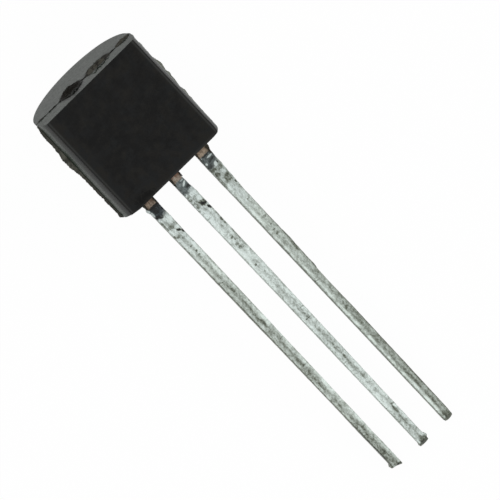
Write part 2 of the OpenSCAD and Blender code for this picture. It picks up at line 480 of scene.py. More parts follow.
class Value:
    """A socket of a shader tree, with Python's operators for Math nodes."""

    __add__ = operator("ADD")
    __radd__ = operator("ADD", swapped=True)
    __sub__ = operator("SUBTRACT")
    __rsub__ = operator("SUBTRACT", swapped=True)
    __mul__ = operator("MULTIPLY")
    __rmul__ = operator("MULTIPLY", swapped=True)
    __truediv__ = operator("DIVIDE")
    most = operator("MAXIMUM")

    def __init__(self, net: ShaderNet, socket: bpy.types.NodeSocket) -> None:
        """Wraps an output socket of a tree."""
        self.net = net
        self.socket = socket

    def math(self, operation: str, *values: Value | float) -> Value:
        """Adds one Math node."""
        return self.net.value("ShaderNodeMath", {"operation": operation}, dict(enumerate(values)))

    def __pow__(self, power: int) -> Value:
        """The square, the one power that the finishes need."""
        return self * self if power == 2 else NotImplemented

    def __abs__(self) -> Value:
        """This value without its sign."""
        return self.math("ABSOLUTE", self)

    def root(self) -> Value:
        """The square root."""
        return self.math("SQRT", self)

    def hill(self, middle: float, half: float) -> Value:
        """A bell of height 1 round a middle, as wide as half on each side."""
        return self.math("EXPONENT", 0 - ((self - middle) / half) ** 2)

    def step(self, low: float, high: float) -> Value:
        """A soft step from 0 at low to 1 at high."""
        ends = {"From Min": low, "From Max": high, "To Min": 0.0, "To Max": 1.0}
        smooth = {"interpolation_type": "SMOOTHSTEP", "clamp": True}
        return self.net.value("ShaderNodeMapRange", smooth, {"Value": self, **ends}, "Result")


class ShaderNet:
    """The node tree of a material or a world, built from Python expressions."""

    def __init__(self, owner: bpy.types.Material | bpy.types.World) -> None:
        """Empties the tree of a material or a world."""
        self.owner = owner
        owner.use_nodes = True
        self.tree = owner.node_tree
        self.tree.nodes.clear()

    def node(self, kind: str, settings: Settings | None = None, inputs: dict | None = None) -> bpy.types.Node:
        """Adds any node.

        Args:
            kind: the node's type.
            settings: its own settings, set before its sockets.
            inputs: values or links of its sockets, by name or place.

        Returns:
            The node.
        """
        made = self.tree.nodes.new(kind)
        for key, value in (settings or {}).items():
            setattr(made, key, value)
        for key, value in (inputs or {}).items():
            socket = made.inputs[key]
            if isinstance(value, Value):
                self.tree.links.new(value.socket, socket)
            elif isinstance(value, tuple) and len(value) == 3 and socket.type == "RGBA":
                socket.default_value = (*value, 1.0)
            else:
                socket.default_value = value
        return made

    def value(
        self, kind: str, settings: Settings | None = None, inputs: dict | None = None, out: int | str = 0
    ) -> Value:
        """Adds any node and wraps one of its outputs, by name or place."""
        return Value(self, self.node(kind, settings, inputs).outputs[out])

    def local(self, pose: RestPose) -> Value:
        """The place on the piece in upright millimetres, as a vector."""
        back = pose.turn.to_3x3().transposed()
        undo = {
            "Location": tuple(-(back @ pose.shift)),
            "Rotation": tuple(back.to_euler("XYZ")),
            "Scale": (1 / MM, 1 / MM, 1 / MM),
        }
        where = self.value("ShaderNodeTexCoord", out="Object")
        return self.value("ShaderNodeMapping", {"vector_type": "POINT"}, {"Vector": where, **undo})

    def axes(self, vector: Value) -> tuple[Value, Value, Value]:
        """Takes a vector apart into x, y and z."""
        made = self.node("ShaderNodeSeparateXYZ", inputs={0: vector})
        return tuple(Value(self, out) for out in made.outputs)

    def noise(
        self,
        where: Value,
        scale: float | Triple,
        detail: float = 3.0,
        roughness: float = 0.55,
        swirl: float = 0.0,
    ) -> Value:
        """Noise from 0 to 1.

        Args:
            where: the place.
            scale: waves a unit, or waves a unit along each axis.
            detail: how many finer sizes.
            roughness: their share.
            swirl: how far it bends itself.

        Returns:
            The noise's value.
        """
        if isinstance(scale, tuple):
            where = self.value("ShaderNodeVectorMath", {"operation": "MULTIPLY"}, {0: where, 1: scale})
            scale = 1.0
        sizes = {"Scale": scale, "Detail": detail, "Roughness": roughness, "Distortion": swirl}
        return self.value("ShaderNodeTexNoise", {"noise_dimensions": "3D"}, {"Vector": where, **sizes})

    def mix(self, factor: Value | float, first: Value | Colour, second: Value | Colour) -> Value:
        """Blends two colours; the factor is the share of the second."""
        kind = {"data_type": "RGBA", "clamp_factor": True}
        return self.value("ShaderNodeMix", kind, {0: factor, 6: first, 7: second}, 2)

    def ramp(self, factor: Value, stops: Sequence[tuple[float, float]]) -> Value:
        """A value that follows stops along a factor.

        Args:
            factor: where, from 0 to 1.
            stops: each stop's place and height.

        Returns:
            The height.
        """
        made = self.node("ShaderNodeValToRGB", inputs={0: factor})
        elements = made.color_ramp.elements
        while len(elements) < len(stops):
            elements.new(0.5)
        for element, (place, grey) in zip(elements, stops, strict=True):
            element.position = place
            element.color = (grey, grey, grey, 1.0)
        return Value(self, made.outputs[0])

    def bump(self, height: Value, strength: float, distance_mm: float) -> Value:
        """A normal from a height, of which 1 stands for a distance."""
        depth = {"Strength": strength, "Distance": distance_mm * MM}
        return self.value("ShaderNodeBump", inputs={"Height": height, **depth})

    def surface(self, **sockets: object) -> bpy.types.Material:
        """Ends the tree in a Principled shader.

        Args:
            sockets: its sockets, with _ for a space in their names.

        Returns:
            The finished material.
        """
        named = {key.replace("_", " "): value for key, value in sockets.items()}
        shader = self.value("ShaderNodeBsdfPrincipled", inputs=named)
        self.node("ShaderNodeOutputMaterial", inputs={"Surface": shader})
        return self.owner


# ---------------------------------------------------------------- finishes


def rows(kind: type, *values: tuple) -> tuple:
    """Makes a table: one item of a kind from each row of values."""
    return tuple(kind(*row) for row in values)


class Slot(Enum):
    """The record's material slots."""

    COMPOUND = "moulding_compound"
    TIN = "tinned_lead"
    SILICON = "silicon"
    BOND = "bond_layer"
    GOLD = "gold_wire"


@dataclass(frozen=True)
class Patch:
    """An oval patch on a face, in upright millimetres from the middle of what carries it.

    It has its middle, its half sizes, how much it counts, how ragged its edge is, how far it climbs for each
    millimetre across, and whether its ends are blunt.
    """

    x: float
    z: float
    half_x: float
    half_z: float
    amount: float = 1.0
    ragged: float = 0.9
    skew: float = 0.0
    blunt: bool = False

    def mask(self, net: ShaderNet, across: Value, along: Value, waver: Value) -> Value:
        """Where the patch is.

        Args:
            net: the material's tree.
            across: the coordinate that x counts in.
            along: the coordinate that z counts in.
            waver: noise from 0 to 1 that makes its edge ragged.

        Returns:
            The patch's amount inside and 0 outside.
        """
        beside = across - self.x
        wide = (beside / self.half_x) ** 2
        if self.blunt:
            wide = wide**2
        deep = along - self.z
        if self.skew:
            deep = deep - beside * self.skew
        far = (wide + (deep / self.half_z) ** 2).root()
        return (1 - (far + (waver - 0.5) * self.ragged).step(0.70, 1.15)) * self.amount


@dataclass(frozen=True)
class CompoundFinish:
    """Black moulding compound: dull fine grain with a thin moulded skin, and no skin where it broke. Its
    colour carries a painted greenish sheen off the flat, painted highlight lines along the flat's edges and a
    painted highlight on the right burr.
    """

    name: str = "black_moulding_compound"
    dark: Colour = (0.0030, 0.0031, 0.0030)
    warm: Colour = (0.0098, 0.0092, 0.0076)
    cool: Colour = (0.0076, 0.0084, 0.0086)
    broken: Colour = (0.0100, 0.0088, 0.0072)
    healed: Colour = (0.054, 0.051, 0.040)
    # Painted sheen: a greenish tint that stands in for the grazing reflection on the case off the flat.
    painted_sheen_tint: Colour = (0.0155, 0.0270, 0.0165)
    torn_edge: Colour = (0.050, 0.050, 0.041)
    torn_light: Colour = (0.115, 0.115, 0.094)
    lit_edge: Colour = (0.30, 0.315, 0.27)
    # Painted highlight: the pale line that the rounded edges of the flat show.
    painted_edge_highlight: Colour = (0.030, 0.031, 0.029)
    webbing: Colour = (0.046, 0.042, 0.033)
    # A fleck colour inside the painted sheen on the closed end.
    painted_sheen_fleck: Colour = (0.028, 0.022, 0.026)
    gate: Patch = Patch(-0.58, 0.10, 0.56, 0.52, 1.0, 0.6)
    scar: Patch = Patch(0.70, 0.08, 0.62, 0.42, 0.95, 0.9, 0.0, True)
    scar_middle: Patch = Patch(0.62, 0.06, 0.42, 0.34, 1.0, 1.0, 0.0, True)
    side_scar: Patch = Patch(1.90, 0.04, 0.36, 0.24, 0.95, 0.8, 0.0, True)
    end_scar: Patch = Patch(-2.06, 0.11, 0.20, 0.12, 0.95, 0.6, 0.0, True)
    shadow: Patch = Patch(-0.58, -0.10, 0.58, 0.75, 1.0, 0.4)
    sooty: Patch = Patch(-1.38, 0.04, 0.48, 0.34, 0.60, 1.7)
    line_blots: tuple[Patch, ...] = rows(
        Patch, (-2.02, 0.110, 0.20, 0.11, 0.9, 0.8), (-1.42, 0.085, 0.20, 0.09, 0.9, 0.9),
        (-1.08, 0.075, 0.14, 0.13, 0.9, 0.9), (0.02, 0.045, 0.22, 0.12, 0.9, 0.8),
        (1.32, 0.0, 0.16, 0.12, 0.9, 0.8), (1.88, -0.01, 0.34, 0.07, 0.8, 0.6, 0.0, True),
    )
    line_half: float = 0.022
    line_middle: float = 0.045
    line_lean: float = -0.030
    # Where the painted highlight line runs, in from the flat's side edges, and its half width.
    highlight_in: float = 0.070
    highlight_half: float = 0.034

    def line_at(self, x: float | Value) -> float | Value:
        """Where the mould line crosses the closed end: its depth at a place across."""
        return x * self.line_lean + self.line_middle

    def build(self, pose: RestPose) -> bpy.types.Material:
        """Builds the material.

        Args:
            pose: the rest pose.

        Returns:
            The material.
        """
        net = ShaderNet(bpy.data.materials.new(self.name))
        case = pose.case
        where = net.local(pose)
        x, y, z = net.axes(where)
        cloud = net.noise(where, 1.6, 4.0, 0.6)
        blotch = net.noise(where, 5.0, 4.0, 0.65)
        grain = net.noise(where, 16.0, 3.0, 0.6)
        fine = net.noise(where, 55.0, 2.0, 0.5)
        hue = net.noise(where, 2.3, 3.0, 0.6)
        brushed = net.noise(where, (1.2, 17.0, 9.0), 3.0, 0.6)
        ticks = net.noise(where, (13.0, 4.0, 4.0), 3.0, 0.7)
        on_flat = 1 - y.step(0.004 - case.front, 0.03 - case.front)
        on_end = z.step(case.height - 0.06, case.height - 0.01) * (1 - on_flat)
        gate = self.gate.mask(net, x, y, grain)
        ragged = grain * 0.3 + net.noise(where, 6.5, 3.0, 0.7) * 0.7
        scar = self.scar.mask(net, x, y, ragged)
        healed = self.scar_middle.mask(net, x, y, ragged)
        small = self.side_scar.mask(net, x, y, ragged)
        off_line = abs(y - self.line_at(x) + (grain - 0.5) * 0.06)
        line = (1 - off_line.step(self.line_half, self.line_half + 0.05)) * (0.10 + 1.2 * blotch)
        for blot in self.line_blots:
            line = line.most(blot.mask(net, x, y, grain))
        spots = gate.most(scar).most(small).most(line) * on_end
        burr = abs(x).step(case.radius - 0.002, case.radius + 0.008)
        web = 1 - z.step(-0.03, -0.005)
        torn = spots.most(burr * 0.6).most(web)
        tone = (cloud * 0.42 + blotch * 0.33 + fine * 0.25 - 0.5) * 6.2 + 0.45
        tone = tone + (1 - z.step(0.05, 1.2)) * 0.35 + (1 - z.step(0.02, 0.45)) * 0.7
        tone = tone + (0 - x).step(case.flat_width / 2 - 0.60, case.flat_width / 2 - 0.05) * 1.1
        tone = tone + x.step(case.flat_width / 2 - 0.50, case.flat_width / 2 - 0.05) * 0.5
        sooty = self.sooty.mask(net, x, z, grain) * on_flat
        tone = tone - sooty * 1.3
        body = net.mix(tone, self.dark, net.mix(hue.step(0.40, 0.60), self.warm, self.cool))
        # Painted sheen: the greenish grazing reflection painted into the colour off the flat and on the
        # closed end, stronger on the right side, weaker in the front valley and in the gate's shadow.
        painted_sheen = (y + case.front).step(0.0, 0.60).most(on_end)
        painted_sheen = painted_sheen * (0.80 + 0.5 * (brushed - 0.5) + 0.8 * (blotch - 0.5))
        painted_sheen = painted_sheen * (1 + x.step(1.9, 2.1) * (1 - on_end) * 1.2)
        painted_sheen = painted_sheen * (1 - y.step(-0.14, -0.02) * (1 - on_end) * 0.7)
        painted_sheen = painted_sheen * (1 - 0.8 * self.shadow.mask(net, x, y, grain))
        painted_sheen = painted_sheen * (1 + (0 - x).step(1.9, 2.1) * (1 - on_end) * 0.3)
        body = net.mix(painted_sheen, body, net.mix(grain.step(0.54, 0.62) * on_end * 0.7, self.painted_sheen_tint, self.painted_sheen_fleck))
        # Painted highlight lines along the flat's side edges and along its low edge, where the rounded rim
        # catches light.
        painted_side_highlight = abs(x).hill(case.flat_width / 2 - self.highlight_in, self.highlight_half)
        painted_low_highlight = (1 - z.step(0.04, 0.16)) * 0.60 * (1 - sooty * 0.8)
        body = net.mix(painted_side_highlight.most(painted_low_highlight) * on_flat * (0.55 + 0.6 * blotch), body, self.painted_edge_highlight)
        banded = net.noise(where, (7.0, 4.0, 4.0)).step(0.38, 0.56)
        scarred = net.mix(healed * (0.10 + 0.80 * banded) + scar * banded * 0.3, self.broken, self.healed)
        scarred = net.mix(small * (0.30 + 0.60 * banded), scarred, self.healed)
        scarred = net.mix(gate, scarred, self.broken)
        edge = net.mix(z.hill(2.8, 0.9) * blotch.step(0.40, 0.60), self.torn_edge, self.torn_light)
        edge = net.mix(x.step(0.0, 0.1), edge, self.lit_edge)
        colour = net.mix(burr * (0.7 + 0.5 * blotch), body, edge)
        colour = net.mix(spots, colour, scarred)
        colour = net.mix(web, colour, self.webbing)
        height = grain * 0.5 + fine * 0.35 + blotch * 0.5 + torn * net.noise(where, 22.0, 4.0, 0.7) * 5.0
        skin = 0.38 + 0.14 * blotch + 0.08 * (fine - 0.5)
        skin = skin + on_end * ((brushed - 0.55) * 0.45 + (ticks - 0.5) * 0.45)
        return net.surface(
            Base_Color=colour,
            Roughness=0.44 + 0.16 * grain + torn * 0.33,
            Specular_IOR_Level=0.05,
            Coat_Weight=(1 - torn) * (1 - sooty * 0.5) * skin,
            Coat_Roughness=0.34,
            Coat_IOR=1.5,
            Normal=net.bump(height, 0.35, 0.006),
        )


@dataclass(frozen=True)
class Band:
    """A long lighter or darker band on a lead's face.

    Its middle and half width are shares of the lead's half width. It wanders sideways, and it starts and
    ends at distances from the case in millimetres.
    """

    middle: float
    half: float
    amount: float
    wander: float = 1.0
    start: float = -1.0
    end: float = 20.0


@dataclass(frozen=True)
class TinFinish:
    """Tin plate on a copper lead: mottled grey, stained near the case, bare copper at the very root. Painted
    shade darkens its edges, its side faces, its rolled-over cut and the copper under the case.
    """

    name: str
    lean: float
    bands: tuple[Band, ...]
    # Painted shade along the left and the right edge, as shares of the full darkening.
    edges: tuple[float, float]
    levels: tuple[tuple[float, float], ...]
    stain: Patch
    slate: tuple[Colour, Colour]
    copper: tuple[Colour, Colour]
    warmth: float
    contrast: float = 1.0
    # Dark spots of the tin, and painted shade on the rolled-over cut at the tip.
    dark_spots_and_tip_shade: tuple[Patch, ...] = ()
    bright_spots: tuple[Patch, ...] = ()
    black_spots: tuple[Patch, ...] = ()
    # How much painted shade the side faces get.
    side_shade: float = 0.5
    bare_end: float = 0.43
    bright: Colour = (0.865, 0.965, 0.935)
    aged: Colour = (0.865, 0.965, 0.893)
    dull: Colour = (0.158, 0.176, 0.137)
    black: Colour = (0.010, 0.011, 0.010)
    copper_warm: Colour = (0.30, 0.120, 0.055)

    def build(self, pose: RestPose, lead_x: float) -> bpy.types.Material:
        """Builds the material.

        Args:
            pose: the rest pose.
            lead_x: where the lead leaves the case.

        Returns:
            The material.
        """
        net = ShaderNet(bpy.data.materials.new(self.name))
        size = pose.lead
        where = net.local(pose)
        x, y, z = net.axes(where)
        along = 0 - z
        share = along / size.length
        across = x - lead_x - share * self.lean
        half = size.root / 2 - share * ((size.root - size.tip) / 2)
        place = across / half
        cloud = net.noise(where, 1.1, 3.0, 0.6) - 0.5
        coarse = net.noise(where, (5.5, 5.5, 3.6), 3.0, 0.55, 0.6) - 0.5
        mottle = net.noise(where, (9.0, 9.0, 5.0), 4.0, 0.62, 0.8)
        speck = net.noise(where, (18.0, 18.0, 12.0), 3.0, 0.6)
        fine = net.noise(where, 48.0, 2.0, 0.6)
        streak = net.noise(where, (14.0, 14.0, 0.8), 3.0, 0.6)
        sway = net.noise(where, (0.6, 0.6, 0.9), 2.0, 0.6) - 0.5
        breaks = net.noise(where, (2.0, 2.0, 2.2), 2.0, 0.6).step(0.36, 0.62)
        root = 1 - along.step(1.0, 2.8)
        tone = net.ramp(share, self.levels)
        for band in self.bands:
            here = (place + sway * band.wander).hill(band.middle, band.half) * (0.4 + 1.2 * breaks)
            here = here * along.step(band.start - 0.5, band.start + 0.5)
            tone = tone + here * (1 - along.step(band.end - 0.5, band.end + 0.5)) * band.amount
        left, right = self.edges
        # Painted shade: the lead's edges darkened where the rounded edge looks dark.
        painted_edge_shade = (0 - place).step(0.84, 0.98) * left + place.step(0.84, 0.98) * right
        tone = tone - painted_edge_shade * (0.3 + 0.7 * along.step(1.8, 2.5))
        uneven = (mottle - 0.5) * 1.35 + (speck - 0.5) * 1.05 + (streak - 0.5) * 0.25
        uneven = uneven + coarse * (0.35 + 1.35 * root) + cloud * 0.5 + (fine - 0.5) * 0.4
        uneven = uneven - speck.step(0.60, 0.70) * mottle.step(0.40, 0.60) * 0.25
        uneven = uneven - coarse.step(0.05, 0.20) * root * 0.30
        tone = tone + uneven * self.contrast
        waver = mottle * 0.5 + speck * 0.5
        # Darkens the tin's dark spots and paints shade on the rolled-over cut end.
        for spot in self.dark_spots_and_tip_shade:
            tone = tone - spot.mask(net, across, z, waver)
        zone = self.stain.mask(net, across, z, waver)
        age = share.step(0.12, 0.28) * 0.85 + (0.5 - streak) * 2.4 + (0.5 - mottle) * 1.2
        tin = net.mix(tone, self.dull, net.mix(age, self.bright, self.aged))
        tin = net.mix((0 - tone) * 1.6, tin, self.black)
        slate = net.mix(waver.step(0.40, 0.60), *self.slate)
        tin = net.mix(zone, tin, slate)
        # Painted shade on the side faces: they are mixed towards the dull colour.
        side = y.step(0.02, 0.07) * self.side_shade
        tin = net.mix(side * (0.6 + 0.8 * streak), tin, self.dull)
        for spots, colour in ((self.bright_spots, self.bright), (self.black_spots, self.black)):
            for spot in spots:
                tin = net.mix(spot.mask(net, across, z, waver), tin, colour)
        bare = 1 - (along + (speck - 0.5) * 0.10).step(self.bare_end - 0.015, self.bare_end + 0.02)
        copper = net.mix((mottle * 0.6 + speck * 0.4).step(0.36, 0.60), *self.copper)
        shade = 1 - (along + coarse * 0.30).step(0.19, 0.36)
        copper = net.mix(shade * (0.45 + self.warmth * 0.4), copper, self.black)
        copper = net.mix(shade * self.warmth, copper, self.copper_warm)
        colour = net.mix(bare, tin, copper)
        height = mottle * 0.8 + speck * 0.6 + streak * 0.3 + zone * net.noise(where, 30.0, 3.0, 0.7) * 0.8
        return net.surface(
            Base_Color=colour,
            Metallic=0.34 - zone * 0.2,
            Roughness=0.42 + 0.22 * mottle + zone * 0.12 + bare * 0.08,
            Specular_IOR_Level=0.5,
            Normal=net.bump(height, 0.5, 0.010),
        )


@dataclass(frozen=True)
class InnerFinish:
    """A plain finish for what is sealed in the case, with a little cloud and grain."""

    name: str
    first: Colour
    second: Colour
    metallic: float
    roughness: float
    scale: float

    def build(self, pose: RestPose) -> bpy.types.Material:
        """Builds the material.

        Args:
            pose: the rest pose.

        Returns:
            The material.
        """
        net = ShaderNet(bpy.data.materials.new(self.name))
        where = net.local(pose)
        cloud = net.noise(where, self.scale, 3.0)
        return net.surface(
            Base_Color=net.mix(cloud.step(0.35, 0.65), self.first, self.second),
            Metallic=self.metallic,
            Roughness=self.roughness + 0.1 * cloud,
            Normal=net.bump(net.noise(where, 3 * self.scale), 0.3, 0.002),
        )


# ---------------------------------------------------------------- the case

STUBS = (
    ("gate", 0.045, 0.050),
    ("scar", 0.022, 0.026),
    ("side_scar", 0.018, 0.022),
    ("end_scar", 0.014, 0.016),
)
"""The broken stubs of the closed end: the name of the patch, how high it stands, how rough its top is."""


@dataclass(frozen=True)
class Web:
    """A black web of compound along one side of a lead's root."""

    lead_x: float
    side: int
    length: float
    top_reach: float
    low_reach: float
    lap: float


@dataclass
class MouldedCase:
    """The black case: round back, tapered front, mould burr, gate scars and the webs beside the leads."""

    pose: RestPose
    finish: CompoundFinish = CompoundFinish()
    name: str = "case_skin"
    round_sides: int = 256
    front_steps: int = 9
    first_slope: float = 0.087
    slope_power: float = 3.33
    rim_round: float = 0.045
    border: float = 0.030
    border_slope: float = 0.040
    border_step: float = 0.0045
    web_front: float = 0.018
    sharp_edge: float = 40.0
    corner_left: float = -1.75
    corner_right: float = 1.85
    corner_high: float = 0.30
    worn_low: tuple[float, float] = (0.010, -0.0064)
    worn_corners: tuple[float, float] = (0.050, 0.026)
    worn_corner_in: float = 0.022
    worn_shoulder: float = 0.045
    burr_root: float = 0.14
    burr_bases: tuple[float, float] = (0.40, 0.14)
    burr_cuts: tuple[int, int, int] = (150, 5, 2)
    ridge_cuts: tuple[int, int] = (160, 2)
    ridge_rise: float = 0.012
    web_cuts: tuple[int, int, int] = (20, 3, 7)

    def __post_init__(self) -> None:
        """Takes the sizes that belong to the rest pose."""
        self.sizes, self.lead = self.pose.case, self.pose.lead

    def body(self) -> Bench:
        """Models the plain case.

        Returns:
            The bench with the case on it.
        """
        size = self.sizes
        middle = size.height / 2
        centre = (0, size.wall_behind, middle)
        bench = Bench.drum(self.name, size.radius, size.height, centre, self.round_sides)
        bench.bisect((0, size.wall_behind, 0), (0, 1, 0), drop_behind=True)
        bench.faces(lambda face: face.normal.y < -0.99)
        bench.extrude((0, -size.wall_behind, 0))
        half_before, tall_before = size.radius, size.height
        for number in range(1, self.front_steps + 1):
            share = number / self.front_steps
            half_now = self._half_width(share)
            tall_now = size.height + share * (size.flat_height - size.height)
            bench.extrude((0, -size.front / self.front_steps, 0))
            narrower = (half_now / half_before, 1, tall_now / tall_before)
            bench.resize(narrower, (0, -size.front * share, middle))
            half_before, tall_before = half_now, tall_now
        bench.bevel_by_weight(self.rim_round, self._round_share)
        bench.faces(lambda face: face.normal.y < -0.999 and face.calc_area() > 5)
        bench.inset(self.border)
        bench.inset(self.border_slope, self.border_step)
        bench.inset(self.border / 2)
        for cut_x in (self.corner_left, self.corner_right):
            bench.bisect((cut_x, 0, 0), (1, 0, 0))
        bench.bisect((0, 0, self.corner_high), (0, 0, 1))
        return bench.shape(self._worn)

    def _worn(self, place: Vector, _normal: Vector) -> Vector:
        """Wears the front's low edge and corners, and the right shoulder of the closed end."""
        fore = step(-place.y, 0.15, 0.80)
        right, left = step(place.x, self.corner_right, 2.12), step(-place.x, -self.corner_left, 2.10)
        corner = fore * step(place.z, self.corner_high, 0.02)
        shoulder = step(place.x, 1.3, 2.1) * step(place.y, 0.05, 0.40) * step(place.z, 3.2, 4.4)
        middle, lean = self.worn_low
        at_left, at_right = self.worn_corners
        place.z += (middle + lean * place.x) * fore * step(place.z, 0.55, 0.05)
        place.z += (at_right * right + at_left * left) * corner
        place.x -= self.worn_corner_in * right * corner + self.worn_shoulder * shoulder
        return place

    def _half_width(self, share: float) -> float:
        """Half the front's width at a share of its depth: steep at the mould line, rounding to the flat."""
        size = self.sizes
        total = size.flat_inset / size.front
        rest = total - self.first_slope
        drawn_in = self.first_slope * share + rest * share ** (self.slope_power + 1)
        return size.radius - size.front * drawn_in

    def _round_share(self, edge: bmesh.types.BMEdge) -> float:
        """How much of the widest rounding an edge of the plain case gets."""
        if len(edge.link_faces) != 2 or edge.calc_face_angle() < math.radians(self.sharp_edge):
            return 0.0
        first, second = (vert.co for vert in edge.verts)
        low = max(first.z, second.z) < self.sizes.height / 2
        on_flat = max(first.y, second.y) < 0.001 - self.sizes.front
        if on_flat and abs(first.x - second.x) < 0.01:
            return 0.9
        if not low:
            return 0.8
        fore = 1 - step((first.y + second.y) / 2, 0.0, 0.7)
        right, left = step(min(first.x, second.x), 1.6, 2.1), step(-max(first.x, second.x), 1.6, 2.1)
        return 1.6 + fore * (2.8 * right + 0.9 * left)

    def burr(self, side: int) -> Bench:
        """Models the torn burr of the mould line on one side.

        Args:
            side: -1 for the left, 1 for the right.

        Returns:
            The bench with the burr on it.
        """
        size = self.sizes
        on_left = side < 0
        reach = size.burr_left if on_left else size.burr_right
        base = self.burr_bases[0 if on_left else 1]
        low, high = (0.0 if on_left else 0.14), size.height - 0.05
        inner, outer = size.radius - self.burr_root, size.radius + 0.02
        halves = high / 2, (outer - inner) / 2, size.burr_thick / 2
        ends = sorted((side * inner, side * outer))
        bench = Bench.block(f"burr{side}", (ends[0], 0.0, low), (ends[1], size.burr_thick, high))
        bench.grid(*zip((Z, X, Y), halves, self.burr_cuts, strict=True))

        def tear(place: Vector, _normal: Vector) -> Vector:
            """Pulls the outer edge out to a torn line and thins it."""
            share = (abs(place.x) - inner) / (outer - inner)
            up = place.z / size.height
            line = Vector((side * 2.0, 0.0, place.z))
            out = 0.22 * up + 0.48 * hill(up, 0.62, 0.11) if on_left else self._right_tears(place.z)
            out += base + 0.16 * rough(line, 4.5, 5.0) + 0.14 * rough(line, 14.0, 9.0)
            out = reach * max(0.04, out)
            out *= step(place.z, low, low + 0.07) * (0.4 + 0.6 * step(place.z, high, high - 0.45))
            out *= step(place.z, high, high - 0.04)
            place.x = side * (inner + share * (size.radius - inner + out))
            centre = size.burr_thick * 0.45
            thin = 1 - 0.45 * step(share, 0.5, 1.0)
            place.y = centre + (place.y - centre) * thin + 0.016 * share * rough(place, 7.0, 4.0)
            return place

        return bench.shape(tear)

    @staticmethod
    def _right_tears(height: float) -> float:
        """How far the few tears of the right burr reach at a height, as shares of its reach."""
        tears = 0.85 * hill(height, 3.03, 0.20) + 0.70 * hill(height, 2.55, 0.10)
        tears += 0.33 * hill(height, 2.79, 0.13) + 0.40 * hill(height, 2.29, 0.20)
        tears += 0.44 * hill(height, 1.69, 0.15) + 0.22 * hill(height, 1.32, 0.22)
        return tears + 0.18 * hill(height, 4.0, 0.12) + 0.60 * hill(height, 4.44, 0.09)

    def end_line(self) -> Bench:
        """Models the fine ragged ridge of the mould line over the closed end.

        Returns:
            The bench with the ridge on it.
        """
        size = self.sizes
        half = size.radius - 0.08
        top = size.height
        low, high = (-half, -0.02, top - 0.06), (half, 0.06, top + self.ridge_rise)
        bench = Bench.block("end_line", low, high)
        bench.grid((X, half, self.ridge_cuts[0]), (Y, 0.03, self.ridge_cuts[1]))

        def ragged(place: Vector, _normal: Vector) -> Vector:
            """Raises and bends the ridge unevenly."""
            line = Vector((place.x, 0, 0))
            place.y += self.finish.line_at(place.x) - 0.02 + 0.018 * rough(line, 2.5, 1.0)
            if place.z > top:
                place.z = top + max(0.002, self.ridge_rise + 0.022 * rough(line, 6.0, 3.0))
            return place

        return bench.shape(ragged)

    def scar(self, name: str, patch: Patch, height: float, bite: float) -> Bench:
        """Models a broken, lens-shaped stub on the closed end.

        Args:
            name: name of the piece.
            patch: its place and half sizes; z counts along the depth.
            height: how high it stands.
            bite: how rough its top is.

        Returns:
            The bench with the stub on it.
        """
        top = self.sizes.height
        bench = Bench.lump(name, (patch.half_x, patch.half_z, height), (patch.x, patch.z, top - 0.002))

        def break_off(place: Vector, _normal: Vector) -> Vector:
            """Points the ends and breaks the surface."""
            along = (place.x - patch.x) / patch.half_x
            depth = place.y - patch.z
            pointed = 0.12 if patch.blunt else 0.45
            bar = Vector((place.x, 0, 0))
            torn = (0.55, 0.40) if patch.blunt else (0.20, 0.14)
            waist = 1.05 - pointed * abs(along) ** 1.6
            waist += torn[0] * rough(bar, 4.5, patch.x) + torn[1] * rough(bar, 12.0, patch.x)
            place.y = patch.z + depth * waist
            if place.z > top:
                rise = 0.5 + rough(place, 7.0, 6.0) + 0.5 * rough(place, 22.0, 8.0)
                place.z += bite * rise * (1 - abs(along))
            return place

        return bench.shape(break_off)

    def web(self, web: Web) -> Bench:
        """Models one black web beside a lead's root.

        Args:
            web: its place and sizes.

        Returns:
            The bench with the web on it.
        """
        half = self.lead.root / 2
        side = web.side
        inner, outer = half - web.lap, half + web.low_reach
        ends = sorted((web.lead_x + side * inner, web.lead_x + side * outer))
        front, back = -self.web_front, self.lead.thick - 0.09
        bench = Bench.block("web", (ends[0], front, -web.length), (ends[1], back, 0.12))
        halves = web.length / 2, (outer - inner) / 2, (back - front) / 2
        bench.grid(*zip((Z, X, Y), halves, self.web_cuts, strict=True))

        def wear(place: Vector, _normal: Vector) -> Vector:
            """Spreads the web at the case, thins it downwards and makes its edges ragged."""
            down = -place.z
            share = (abs(place.x - web.lead_x) - inner) / (outer - inner)
            low = step(down, 0.5 * web.length, web.length)
            high = 1 - step(down, 0.25 * web.length, web.length)
            reach = web.low_reach + (web.top_reach - web.low_reach) * high
            reach = reach * (1 - 0.4 * low) + 0.06 * math.exp(-max(0.0, down) / 0.035)
            edge = 0.007 * rough(Vector((web.lead_x, 0, place.z)), 9.0, 3.0 * side)
            start = inner + edge + web.lap * 0.5 * low
            place.x = web.lead_x + side * (start + share * (half + reach + edge - start))
            end = step(down, 0.6 * web.length, web.length)
            place.z += 0.02 * end * rough(Vector((place.x, 0, 0)), 14.0, side)
            return place

        return bench.shape(wear)

    def build(self) -> bpy.types.Object:
        """Builds and dresses the case.

        Returns:
            The finished piece.
        """
        case = self.body()
        case.unite(self.burr(-1))
        case.unite(self.burr(1))
        case.unite(self.end_line())
        for name, height, bite in STUBS:
            case.unite(self.scar(name, getattr(self.finish, name), height, bite))
        pitch = self.lead.pitch
        for web in rows(
            Web, (-pitch, -1, 0.46, 0.062, 0.040, 0.020), (-pitch, 1, 0.54, 0.010, 0.005, 0.063),
            (0.0, -1, 0.55, 0.010, 0.005, 0.045), (0.0, 1, 0.42, 0.005, 0.004, 0.050),
            (pitch, -1, 0.53, 0.010, 0.005, 0.030), (pitch, 1, 0.56, 0.130, 0.074, 0.012),
        ):
            case.unite(self.web(web))
        case.recalculate()
        case.smooth(32)
        case.modifier("WEIGHTED_NORMAL", keep_sharp=True, weight=60)
        obj = case.finished(self.pose, self.finish.build(self.pose))
        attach(obj, "root")
        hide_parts("moulded_case")
        return obj


# ---------------------------------------------------------------- the leads


class InnerEnd(Enum):
    """What a lead's inner end is."""

    TALL_POST = "tall_post"
    SHORT_POST = "short_post"
    DIE_PAD = "die_pad"


